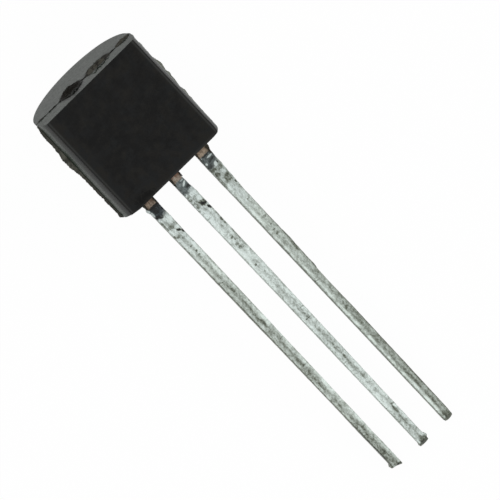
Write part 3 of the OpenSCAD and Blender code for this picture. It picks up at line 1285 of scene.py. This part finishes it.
@dataclass(frozen=True)
class CutTip:
    """How a lead's cut end is shaped, in millimetres: rolled over the front by a height and a depth, most at
    a middle from -1 to 1 across; sheared to a slant, longer by an extra, bowed, or flared out on one side.
    """

    height: float
    depth: float
    middle: float
    slant: float = 0.0
    extra: float = 0.0
    bow: float = 0.0
    flare_side: int = 0
    flare: float = 0.0
    flare_up: float = 0.0
    flare_half: float = 0.07

    def shaped(self, place: Vector, left: float, share: float, thick: float) -> Vector:
        """Moves a point near the cut.

        Args:
            place: the point.
            left: how much of the lead is left between it and the cut.
            share: its place across, from -1 to 1.
            thick: the lead's thickness.

        Returns:
            Where the point goes.
        """
        low = step(left, 0.5, 0.0)
        rolled = self.height * max(0.1, 1 - 0.6 * (share - self.middle) ** 2)
        if left < rolled:
            place.y += self.depth * (1 - left / rolled) ** 2 * (1 - place.y / thick)
        place.z -= self.extra * step(left, 1.5, 0.3)
        place.z += low * (self.slant * (1 - share) / 2 + self.bow * share**2)
        if self.flare_side and share * self.flare_side > 0.4:
            beside = step(abs(share), 0.4, 1.0)
            place.x += self.flare_side * self.flare * hill(left, self.flare_up, self.flare_half) * beside
        return place


@dataclass
class Lead:
    """One tinned lead with its inner end."""

    node: str
    x: float
    inner: InnerEnd
    pose: RestPose
    finish: TinFinish
    tip: CutTip
    outline: tuple[Triple, ...]
    seed: float
    plate: float = 0.014
    edge_round: float = 0.026
    length_cuts: int = 230
    widest_face: float = 0.12
    fine_end: float = 0.55

    def __post_init__(self) -> None:
        """Takes the sizes that belong to the rest pose."""
        self.sizes = self.pose.lead

    def _stem_top(self) -> float:
        """Where the stem of the inner end stops."""
        size = self.sizes
        return {
            InnerEnd.TALL_POST: size.post_left_z + size.post_left_len,
            InnerEnd.SHORT_POST: size.post_mid_z + size.post_mid_len,
            InnerEnd.DIE_PAD: self.pose.case.height - size.top_cover,
        }[self.inner]

    def _head(self) -> tuple[float, float, float]:
        """Where the head starts, and its reach to the left and to the right of the stem."""
        size = self.sizes
        if self.inner is InnerEnd.TALL_POST:
            return size.post_left_z, 0.0, size.post_left_reach
        if self.inner is InnerEnd.SHORT_POST:
            return size.post_mid_z, size.post_mid_reach, size.post_mid_reach
        start = size.post_mid_z + size.post_mid_len + size.inner_gap
        left = 2 * size.pitch - size.root - size.post_left_reach - size.inner_gap
        return start, left, size.pad_reach

    def _reach(self, side: int, low: float, high: float, distance: float) -> None:
        """Extrudes the stem's side between two heights."""
        if distance <= 0:
            return
        self.bench.faces(lambda face: face.normal.x * side > 0.9 and low < face.calc_center_median().z < high)
        self.bench.extrude((side * distance, 0, 0))

    def _model(self) -> None:
        """Models the lead: stem, shoulders, head, taper and tip."""
        size = self.sizes
        half = size.root / 2 - self.plate
        top = self._stem_top()
        front, back = self.plate, size.thick - self.plate
        low = (self.x - half, front, self.plate - size.length)
        self.bench = Bench.block(f"{self.node}_tinned", low, (self.x + half, back, top))
        head, left, right = self._head()
        for height in (0.0, size.lock_z, size.lock_z + size.lock_len, head):
            self.bench.bisect((self.x, 0, height), (0, 0, 1))
        self.bench.verts(lambda vert: vert.co.z < -1)
        narrower = (size.tip / 2 - self.plate) / half
        self.bench.resize((narrower, 1, 1), (self.x, size.thick / 2, -size.length))
        for side, reach in ((-1, left), (1, right)):
            self._reach(side, size.lock_z, size.lock_z + size.lock_len, size.lock_reach)
            self._reach(side, head, top, reach)
        self.bench.bevel_by_weight(self.edge_round, self._round_share)

    def _round_share(self, edge: bmesh.types.BMEdge) -> float:
        """How much of the rounding an edge gets: all of it outside, none inside the case."""
        first, second = (vert.co for vert in edge.verts)
        if len(edge.link_faces) != 2 or edge.calc_face_angle() < math.radians(30):
            return 0.0
        return 1.0 if min(first.z, second.z) < -1 else 0.0

    def _refine(self) -> None:
        """Cuts the outer part into small faces, for its uneven plating."""

        def spans(edge: bmesh.types.BMEdge) -> tuple[float, float, float]:
            """An edge's upper end, its length, and how upright it is from 0 to 1."""
            run = edge.verts[0].co - edge.verts[1].co
            return max(vert.co.z for vert in edge.verts), run.length, abs(run.normalized().z)

        def is_long(edge: bmesh.types.BMEdge) -> bool:
            """Whether an edge runs down the whole lead."""
            return spans(edge)[1] > self.sizes.length / 2 and min(vert.co.z for vert in edge.verts) < -1

        def is_wide(edge: bmesh.types.BMEdge) -> bool:
            """Whether an edge crosses the outer lead and is still long."""
            high, length, upright = spans(edge)
            return high < -0.01 and length > self.widest_face and upright < 0.5

        def is_at_cut(edge: bmesh.types.BMEdge) -> bool:
            """Whether an edge runs along the lead close to its cut."""
            high, length, upright = spans(edge)
            near = high < self.fine_end - self.sizes.length
            return near and length > self.widest_face / 4 and upright > 0.9

        for test, cuts in ((is_long, self.length_cuts), (is_wide, 2), (is_wide, 2), (is_at_cut, 2)):
            self.bench.edges(test)
            self.bench.split(cuts)

    def _coat(self, place: Vector, normal: Vector) -> Vector:
        """Where the tin, the cut and the lean put a point of the copper lead."""
        if place.z > -0.015:
            return place
        along = -place.z
        size = self.sizes
        across = place.x - self.x
        bare = self.finish.bare_end
        tin = step(along + 0.03 * rough(place, 6.0, self.seed), bare - 0.01, bare + 0.05)
        lumps = (0.004 + 0.009 * hill(along, 1.0, 0.7)) * rough(place, 5.5, self.seed)
        moved = place + normal * tin * (self.plate + lumps + 0.003 * rough(place, 16.0, self.seed, 2))
        moved = self.tip.shaped(moved, size.length - along, 2 * across / size.tip, size.thick)
        left, right = self._bulge(along)
        ragged = 1 + 0.35 * rough(Vector((self.x, 0, place.z)), 9.0, 8.0)
        moved.x += ragged * (right * step(across, 0.04, 0.16) - left * step(-across, 0.04, 0.16))
        moved.x += self.finish.lean * along / size.length
        return moved

    def _bulge(self, along: float) -> tuple[float, float]:
        """How far the left and the right side stand out of the straight taper at a place along."""
        before = Vector((0.0, 0.0, 0.0))
        for after in map(Vector, self.outline):
            if along < after[0]:
                before = before.lerp(after, (along - before[0]) / (after[0] - before[0]))
                break
            before = after
        return before[1], before[2]

    def build(self) -> bpy.types.Object:
        """Builds and dresses the lead.

        Returns:
            The finished piece.
        """
        self._model()
        self._refine()
        self.bench.recalculate()
        self.bench.shape(self._coat)
        self.bench.smooth(45)
        obj = self.bench.finished(self.pose, self.finish.build(self.pose, self.x))
        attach(obj, "root")
        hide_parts(self.node)
        return obj


# ---------------------------------------------------------------- what is sealed inside


@dataclass
class SealedParts:
    """The die, its bond layer and the wires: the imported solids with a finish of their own."""

    frame: dict
    pose: RestPose

    def build(self) -> None:
        """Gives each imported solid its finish."""
        silicon = InnerFinish("silicon", (0.055, 0.065, 0.10), (0.09, 0.10, 0.14), 0.3, 0.22, 3.0)
        bond = InnerFinish("bond_layer", (0.42, 0.42, 0.40), (0.55, 0.55, 0.52), 0.6, 0.45, 8.0)
        gold = InnerFinish("gold_wire", (0.80, 0.55, 0.20), (0.90, 0.66, 0.28), 1.0, 0.22, 20.0)
        wires = ("wire_left", "wire_middle")
        for nodes, finish in ((("die",), silicon), (("die_bond",), bond), (wires, gold)):
            material = finish.build(self.pose)
            for node in nodes:
                dress(self.frame["nodes"][node], material)


# ---------------------------------------------------------------- camera, floor and light


@dataclass(frozen=True)
class PhotoCamera:
    """The camera as fitted to the photograph, in the upright frame."""

    pose: RestPose
    azimuth: float = 5.99
    elevation: float = 15.45
    roll: float = -43.21
    scale: float = 28.562
    distance: float = 300.0
    aim: Vector = field(default_factory=lambda: Vector((0.1542, 0.0, -4.0532)))
    sensor: float = 36.0

    def build(self) -> bpy.types.Object:
        """Adds the camera.

        Returns:
            The camera, as the scene's own.
        """
        side, rise, roll = (math.radians(a) for a in (self.azimuth, self.elevation, self.roll))
        back = Vector((-math.sin(side) * math.cos(rise), -math.cos(side) * math.cos(rise), math.sin(rise)))
        right = Vector((math.cos(side), -math.sin(side), 0.0))
        up = back.cross(right)
        level_right = math.cos(roll) * right + math.sin(roll) * up
        level_up = math.cos(roll) * up - math.sin(roll) * right
        turn = Matrix([self.pose.direction(v) for v in (level_right, level_up, back)]).transposed()
        place = self.pose.matrix() @ (self.aim + back * self.distance)
        Bench.clear()
        bpy.ops.object.camera_add(location=place, rotation=turn.to_euler())
        camera = bpy.context.object
        camera.name = "camera"
        camera.data.sensor_width = self.sensor
        camera.data.lens = self.sensor * self.distance * self.scale / PICTURE_PX
        camera.data.clip_start = 0.01
        camera.data.clip_end = 20.0
        bpy.context.scene.camera = camera
        return camera


@dataclass(frozen=True)
class Lamp:
    """A soft lamp: where it stands round the part, in degrees, and its power in watts."""

    azimuth: float
    elevation: float
    power: float

    @property
    def way(self) -> Vector:
        """The direction from the part to the lamp."""
        turn, rise = math.radians(self.azimuth), math.radians(self.elevation)
        level = math.cos(rise)
        return Vector((math.cos(turn) * level, math.sin(turn) * level, math.sin(rise)))


@dataclass(frozen=True)
class Studio:
    """A plain pale floor and soft light from the sides."""

    floor_size: float = 2.4
    floor_tone: float = 0.90
    floor_camera: float = 0.975
    floor_mirror: float = 0.92
    sky: float = 0.34
    lamp_distance: float = 0.9
    lamp_size: float = 0.55
    lamps: tuple[Lamp, ...] = rows(Lamp, (200.0, 38.0, 3.0), (320.0, 34.0, 2.6), (80.0, 36.0, 2.6))

    @staticmethod
    def _seen_white(net: ShaderNet, usual: Value, white: Value, camera: float, mirror: float) -> Value:
        """Blends a plain white in for the rays that look at it.

        Args:
            net: the tree.
            usual: the shader that lights the part.
            white: the white shader.
            camera: its share for camera rays.
            mirror: its share for mirrored and passing rays.

        Returns:
            The blend.
        """
        path = net.node("ShaderNodeLightPath")
        share = Value(net, path.outputs["Is Camera Ray"]) * camera
        for ray in ("Is Glossy Ray", "Is Transmission Ray"):
            share = share + Value(net, path.outputs[ray]) * mirror
        return net.value("ShaderNodeMixShader", inputs={0: share, 1: usual, 2: white})

    def floor(self) -> bpy.types.Object:
        """Adds the floor.

        Returns:
            The floor.
        """
        Bench.clear()
        bpy.ops.mesh.primitive_plane_add(size=self.floor_size, location=(0, 0, 0))
        obj = bpy.context.object
        obj.name = "floor"
        net = ShaderNet(bpy.data.materials.new("floor_white"))
        plain = net.value("ShaderNodeBsdfDiffuse", inputs={"Color": (self.floor_tone,) * 3})
        white = net.value("ShaderNodeEmission")
        blend = self._seen_white(net, plain, white, self.floor_camera, self.floor_mirror)
        net.node("ShaderNodeOutputMaterial", inputs={"Surface": blend})
        dress(obj, net.owner)
        return obj

    def sky_light(self) -> None:
        """Sets the world: an even dim grey that the camera sees as white."""
        world = bpy.data.worlds.new("studio")
        bpy.context.scene.world = world
        net = ShaderNet(world)
        dim, white = (
            net.value("ShaderNodeBackground", inputs={"Color": WHITE, "Strength": strength})
            for strength in (self.sky, 1.0)
        )
        blend = self._seen_white(net, dim, white, 1.0, 0.0)
        net.node("ShaderNodeOutputWorld", inputs={"Surface": blend})

    def lights(self) -> None:
        """Adds the soft lamps, out of the camera's sight."""
        for number, lamp in enumerate(self.lamps):
            Bench.clear()
            bpy.ops.object.light_add(type="AREA", location=lamp.way * self.lamp_distance)
            obj = bpy.context.object
            obj.name = f"lamp{number}"
            obj.rotation_mode = "QUATERNION"
            obj.rotation_quaternion = lamp.way.to_track_quat("Z", "Y")
            obj.data.shape = "SQUARE"
            obj.data.size = self.lamp_size
            obj.data.energy = lamp.power
            obj.visible_camera = False

    def build(self) -> None:
        """Builds the floor, the sky and the lamps."""
        self.floor()
        self.sky_light()
        self.lights()
        bpy.context.scene.view_settings.view_transform = "Standard"


# ---------------------------------------------------------------- the whole part

# The left lead's tin: black stain at the root, and a painted highlight along the right edge.
LEFT_TIN = TinFinish(
    name="tin_left",
    lean=0.03,
    # The band at 0.68 across is a painted highlight along the rounded right edge.
    bands=rows(
        Band, (-0.62, 0.22, 0.10), (-0.10, 0.30, -0.19, 1.3), (0.68, 0.34, 0.34, 0.25),
        (0.97, 0.22, -0.34, 0.0, -1.0, 5.5), (-0.25, 0.30, -0.12, 0.4, 0.8, 2.0),
    ),
    edges=(0.56, 0.0),
    levels=(
        (0.0, 0.66), (0.17, 0.65), (0.235, 0.56), (0.30, 0.525), (0.37, 0.37), (0.43, 0.32), (0.50, 0.425),
        (0.557, 0.475), (0.60, 0.41), (0.68, 0.415), (0.80, 0.455), (0.88, 0.43), (0.94, 0.24),
        (1.0, 0.16),
    ),
    stain=Patch(-0.04, -0.55, 0.42, 0.46, 1.0, 0.8),
    slate=((0.006, 0.008, 0.009), (0.056, 0.074, 0.081)),
    copper=((0.120, 0.086, 0.056), (0.40, 0.315, 0.240)),
    warmth=0.22,
    contrast=1.15,
    side_shade=0.65,
    dark_spots_and_tip_shade=rows(
        Patch, (0.0, -1.45, 0.26, 0.09, 0.42, 0.4), (0.08, -1.14, 0.18, 0.18, -0.34),
        (-0.18, -1.02, 0.06, 0.07, -0.35), (-0.08, -1.70, 0.13, 0.14, -0.34),
        (-0.20, -1.17, 0.04, 0.05, 0.40), (0.09, -1.71, 0.075, 0.060, 1.10, 0.9, -0.6),
        (0.18, -1.83, 0.040, 0.080, 1.15), (-0.20, -1.82, 0.035, 0.07, 0.80),
        (-0.13, -1.90, 0.07, 0.045, 0.45, 0.9, -0.5), (0.03, -2.03, 0.06, 0.055, 0.40),
        (0.02, -2.45, 0.06, 0.035, 0.45), (0.04, -2.70, 0.04, 0.035, 0.50),
        (0.01, -2.86, 0.06, 0.050, 0.50), (-0.15, -4.15, 0.10, 0.030, 0.40, 0.6, -0.5),
        (0.02, -4.65, 0.07, 0.11, 0.30), (0.02, -6.25, 0.06, 0.15, 0.34),
        (0.12, -7.12, 0.09, 0.018, 0.35, 0.5, 0.1), (0.08, -8.42, 0.20, 0.035, 0.32, 0.7),
        (0.00, -8.80, 0.12, 0.14, 0.14), (0.15, -9.40, 0.08, 0.50, -0.16),
        (0.04, -11.62, 0.09, 0.13, 0.22), (-0.14, -12.30, 0.10, 1.00, 0.20),
        # The last two: painted shade on the rolled-over cut end, and a lighter spot beside it.
        (0.09, -13.50, 0.11, 0.11, 0.55), (-0.20, -13.44, 0.10, 0.18, -0.28, 0.4),
    ),
    bright_spots=rows(
        Patch, (-0.29, -0.50, 0.085, 0.075, 0.90), (-0.225, -0.68, 0.050, 0.14, 0.60),
    ),
    black_spots=rows(
        Patch, (-0.01, -0.485, 0.21, 0.075, 1.0, 0.6), (-0.05, -0.63, 0.11, 0.13, 0.70),
        (-0.17, -0.86, 0.085, 0.075, 1.0), (-0.09, -0.94, 0.09, 0.050, 0.85, 0.8, -0.7),
    ),
)

# The middle lead's tin: the brightest, with a slate stain and two dark spots.
MIDDLE_TIN = TinFinish(
    name="tin_middle",
    lean=0.01,
    bands=rows(
        Band, (-0.65, 0.35, 0.10), (0.02, 0.30, -0.15), (-0.02, 0.24, -0.08, 0.5, 6.0, 12.5),
        (0.66, 0.25, 0.14, 0.3, 5.5, 14.5), (0.95, 0.20, -0.30, 0.0, -1.0, 6.0),
        (-0.88, 0.30, -0.30, 0.1, 0.8, 1.9),
    ),
    edges=(0.16, 0.04),
    levels=(
        (0.0, 0.66), (0.11, 0.72), (0.155, 0.90), (0.185, 0.90), (0.235, 0.74), (0.32, 0.72), (0.43, 0.70),
        (0.49, 0.66), (0.65, 0.56), (0.81, 0.72), (0.88, 0.54), (1.0, 0.55),
    ),
    stain=Patch(-0.05, -0.60, 0.46, 0.46, 0.92, 0.8),
    slate=((0.080, 0.100, 0.104), (0.175, 0.210, 0.208)),
    copper=((0.25, 0.198, 0.148), (0.50, 0.430, 0.350)),
    warmth=0.62,
    aged=(0.865, 0.965, 0.920),
    contrast=1.25,
    bare_end=0.455,
    side_shade=0.25,
    dark_spots_and_tip_shade=rows(
        Patch, (0.07, -1.12, 0.14, 0.10, -0.40), (-0.17, -1.13, 0.09, 0.06, 0.45),
        (-0.19, -1.27, 0.07, 0.055, 0.45), (0.02, -1.27, 0.06, 0.04, 0.30),
        (-0.10, -1.47, 0.12, 0.07, 0.32), (0.11, -1.38, 0.10, 0.07, -0.30),
        (0.10, -1.61, 0.14, 0.13, 0.60, 1.3, -0.35), (0.13, -1.67, 0.09, 0.06, 0.42, 1.0, -0.5),
        (-0.06, -1.62, 0.17, 0.11, 0.40), (0.175, -1.89, 0.055, 0.09, 1.25, 0.8, -0.5),
        (-0.21, -1.80, 0.028, 0.05, 0.55), (-0.18, -2.22, 0.08, 0.030, 0.35, 0.7, 0.3),
        (0.17, -2.52, 0.04, 0.09, 0.45), (0.02, -2.72, 0.05, 0.06, 0.30), (0.18, -2.70, 0.03, 0.07, 0.40),
        (0.00, -3.27, 0.06, 0.045, 0.55), (0.07, -3.38, 0.08, 0.07, 0.38), (0.00, -3.53, 0.09, 0.08, 0.36),
        (0.02, -3.74, 0.12, 0.09, 0.34), (0.0, -4.15, 0.20, 0.22, -0.16),
        (-0.06, -4.58, 0.055, 0.045, 0.70, 0.6), (0.12, -6.84, 0.10, 0.020, 0.45, 0.5, -0.15),
        (0.02, -7.30, 0.17, 0.016, 0.35, 0.6, -0.10), (-0.07, -7.30, 0.04, 0.030, 0.40),
        (0.02, -9.22, 0.05, 0.10, 0.40), (-0.10, -9.42, 0.05, 0.03, 0.35),
        (0.04, -10.22, 0.06, 0.09, 0.30), (-0.07, -11.45, 0.11, 0.50, -0.26),
        (0.11, -11.70, 0.08, 0.045, 0.55, 0.7), (0.06, -11.95, 0.045, 0.24, 0.30),
        # These two: painted shade on the rolled-over cut end.
        (0.06, -13.73, 0.27, 0.47, 0.52, 0.2), (0.02, -13.62, 0.50, 0.17, 0.40, 0.3),
    ),
    bright_spots=rows(
        Patch, (0.06, -0.655, 0.105, 0.050, 0.85, 0.9, 0.6), (0.08, -0.51, 0.07, 0.030, 0.45),
        (0.16, -0.95, 0.045, 0.045, 0.60), (0.07, -0.98, 0.11, 0.06, 0.35),
        (-0.08, -0.60, 0.09, 0.05, 0.14),
    ),
    black_spots=rows(
        Patch, (0.11, -0.81, 0.085, 0.070, 0.85), (-0.16, -0.74, 0.07, 0.06, 0.35),
        (-0.15, -0.92, 0.09, 0.05, 0.30),
    ),
)

# The right lead's tin: bright streaks in the stain, and a darker right half.
RIGHT_TIN = TinFinish(
    name="tin_right",
    lean=-0.03,
    bands=rows(
        Band, (-0.58, 0.25, 0.28, 0.4), (-0.66, 0.20, 0.20, 0.2, 8.3, 15.0),
        (-0.92, 0.22, -0.20, 0.1, 2.2, 7.6), (-0.80, 0.40, -0.26, 0.2, 0.6, 1.9), (0.05, 0.30, -0.08),
        (-0.06, 0.26, -0.16, 0.3, 8.6, 15.0), (0.45, 0.22, 0.12, 0.3, 10.8, 13.2),
        (0.52, 0.22, 0.14, 0.3, 1.2, 6.0), (0.75, 0.28, -0.12),
    ),
    edges=(0.28, 0.42),
    levels=(
        (0.0, 0.42), (0.12, 0.46), (0.16, 0.65), (0.19, 0.67), (0.235, 0.63), (0.30, 0.51), (0.43, 0.46),
        (0.50, 0.46), (0.555, 0.43), (0.62, 0.30), (0.70, 0.34), (0.80, 0.33), (0.88, 0.37), (0.95, 0.42),
        (1.0, 0.42),
    ),
    stain=Patch(-0.09, -0.58, 0.46, 0.46, 0.92, 0.8),
    slate=((0.035, 0.043, 0.044), (0.125, 0.150, 0.148)),
    copper=((0.235, 0.178, 0.124), (0.50, 0.395, 0.290)),
    warmth=0.20,
    side_shade=0.60,
    dark_spots_and_tip_shade=rows(
        Patch, (0.07, -1.12, 0.14, 0.12, 0.20), (-0.12, -1.08, 0.10, 0.07, 0.34),
        (-0.13, -1.30, 0.095, 0.120, 0.62, 1.3), (0.12, -1.33, 0.08, 0.10, -0.20),
        (0.08, -1.58, 0.13, 0.17, 0.32, 1.3), (0.11, -1.52, 0.07, 0.06, 0.30),
        (0.12, -1.76, 0.08, 0.08, 0.30), (0.19, -1.90, 0.035, 0.07, 0.80),
        (-0.07, -1.92, 0.12, 0.15, -0.20), (0.10, -2.67, 0.07, 0.025, 0.40),
        (0.08, -3.55, 0.09, 0.060, 0.42), (0.06, -3.92, 0.04, 0.035, 0.35),
        (0.00, -4.13, 0.08, 0.035, 0.36), (0.02, -4.32, 0.10, 0.045, 0.32),
        (0.16, -5.05, 0.04, 0.30, 0.35), (-0.10, -6.56, 0.09, 0.020, 0.40, 0.5, -0.35),
        # The last two: painted shade on the rolled-over cut end.
        (0.02, -8.00, 0.10, 0.07, 0.30), (-0.03, -13.70, 0.30, 0.50, 0.42, 0.2),
        (0.0, -13.62, 0.50, 0.17, 0.38, 0.3),
    ),
    bright_spots=rows(
        Patch, (0.11, -0.590, 0.12, 0.038, 0.70), (-0.17, -0.75, 0.038, 0.055, 0.80),
        (0.09, -0.95, 0.075, 0.100, 0.75, 1.0, 0.5), (-0.19, -0.48, 0.035, 0.045, 0.45),
    ),
    black_spots=rows(
        Patch, (0.0, -0.475, 0.16, 0.042, 0.75, 0.7), (0.06, -0.735, 0.16, 0.050, 0.60, 0.8, 0.25),
        (-0.13, -0.93, 0.10, 0.075, 0.50), (0.18, -0.93, 0.032, 0.055, 0.75),
    ),
)

LEFT_TIP = CutTip(0.13, 0.07, 0.5, slant=0.17, extra=0.02, flare_side=-1, flare=0.075, flare_half=0.13)
MIDDLE_TIP = CutTip(0.33, 0.17, 0.15, extra=0.09, bow=0.02, flare_side=1, flare=0.080, flare_up=0.24)
RIGHT_TIP = CutTip(0.36, 0.17, -0.05, extra=0.09, bow=0.045)

# For each lead, along it from the case: the place, and how far its left and its right side stand out
# of the straight taper there, all in millimetres.
LEFT_OUTLINE = (
    (0.40, 0.020, 0.0), (0.50, 0.105, 0.0), (0.60, 0.022, -0.003), (1.25, 0.014, 0.012),
    (1.80, 0.013, -0.003), (2.60, 0.009, 0.009), (6.50, 0.011, 0.003), (6.90, 0.001, -0.002),
    (9.60, 0.001, -0.003), (10.30, 0.0, -0.012), (10.80, 0.002, 0.0), (11.40, 0.014, -0.005),
    (12.00, 0.013, -0.014), (12.60, 0.011, 0.0),
)
MIDDLE_OUTLINE = (
    (0.40, 0.0, -0.030), (0.60, -0.004, -0.028), (0.90, 0.003, -0.018), (1.20, 0.003, 0.015),
    (1.80, 0.008, 0.015), (3.00, 0.002, 0.018), (5.00, 0.006, 0.023), (6.30, -0.002, 0.014),
    (7.50, 0.0, 0.010), (9.60, 0.002, 0.009), (10.80, 0.0, 0.004), (13.40, 0.002, 0.002),
    (13.52, 0.026, 0.026),
)
RIGHT_OUTLINE = (
    (0.40, 0.006, 0.058), (0.60, 0.007, 0.055), (1.20, 0.015, 0.043), (1.80, 0.011, 0.028),
    (2.35, 0.002, 0.002), (2.70, 0.004, 0.012), (3.60, 0.0, 0.006), (3.90, 0.0, 0.018), (4.30, 0.0, 0.016),
    (4.60, 0.003, 0.040), (4.80, 0.0, 0.047), (5.10, 0.0, 0.024), (6.20, 0.0, 0.021),
    (6.27, -0.001, -0.004), (6.60, -0.002, -0.010), (7.50, 0.0, -0.003), (8.10, 0.0, 0.011),
    (12.90, -0.002, 0.016), (13.30, -0.002, 0.006),
)


@dataclass
class Transistor:
    """The whole part."""

    frame: dict
    pose: RestPose = RestPose(CaseSizes(), LeadSizes())

    def leads(self) -> list[Lead]:
        """The leads from left to right.

        Returns:
            The three leads.
        """
        pitch = self.pose.lead.pitch
        tall, short, pad = InnerEnd.TALL_POST, InnerEnd.SHORT_POST, InnerEnd.DIE_PAD
        return [
            Lead("lead_left", -pitch, tall, self.pose, LEFT_TIN, LEFT_TIP, LEFT_OUTLINE, 1.0),
            Lead("lead_middle", 0.0, short, self.pose, MIDDLE_TIN, MIDDLE_TIP, MIDDLE_OUTLINE, 2.0),
            Lead("lead_right", pitch, pad, self.pose, RIGHT_TIN, RIGHT_TIP, RIGHT_OUTLINE, 3.0),
        ]

    def build(self) -> None:
        """Builds every piece, in order."""
        MouldedCase(self.pose).build()
        for lead in self.leads():
            lead.build()
        SealedParts(self.frame, self.pose).build()


def main() -> None:
    """Loads the frame and builds the part, the camera and the studio around it."""
    logging.basicConfig(level=logging.INFO, format="%(name)s: %(message)s")
    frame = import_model()
    part = Transistor(frame)
    PhotoCamera(part.pose).build()
    part.build()
    Studio().build()


if __name__ == "__main__":
    main()
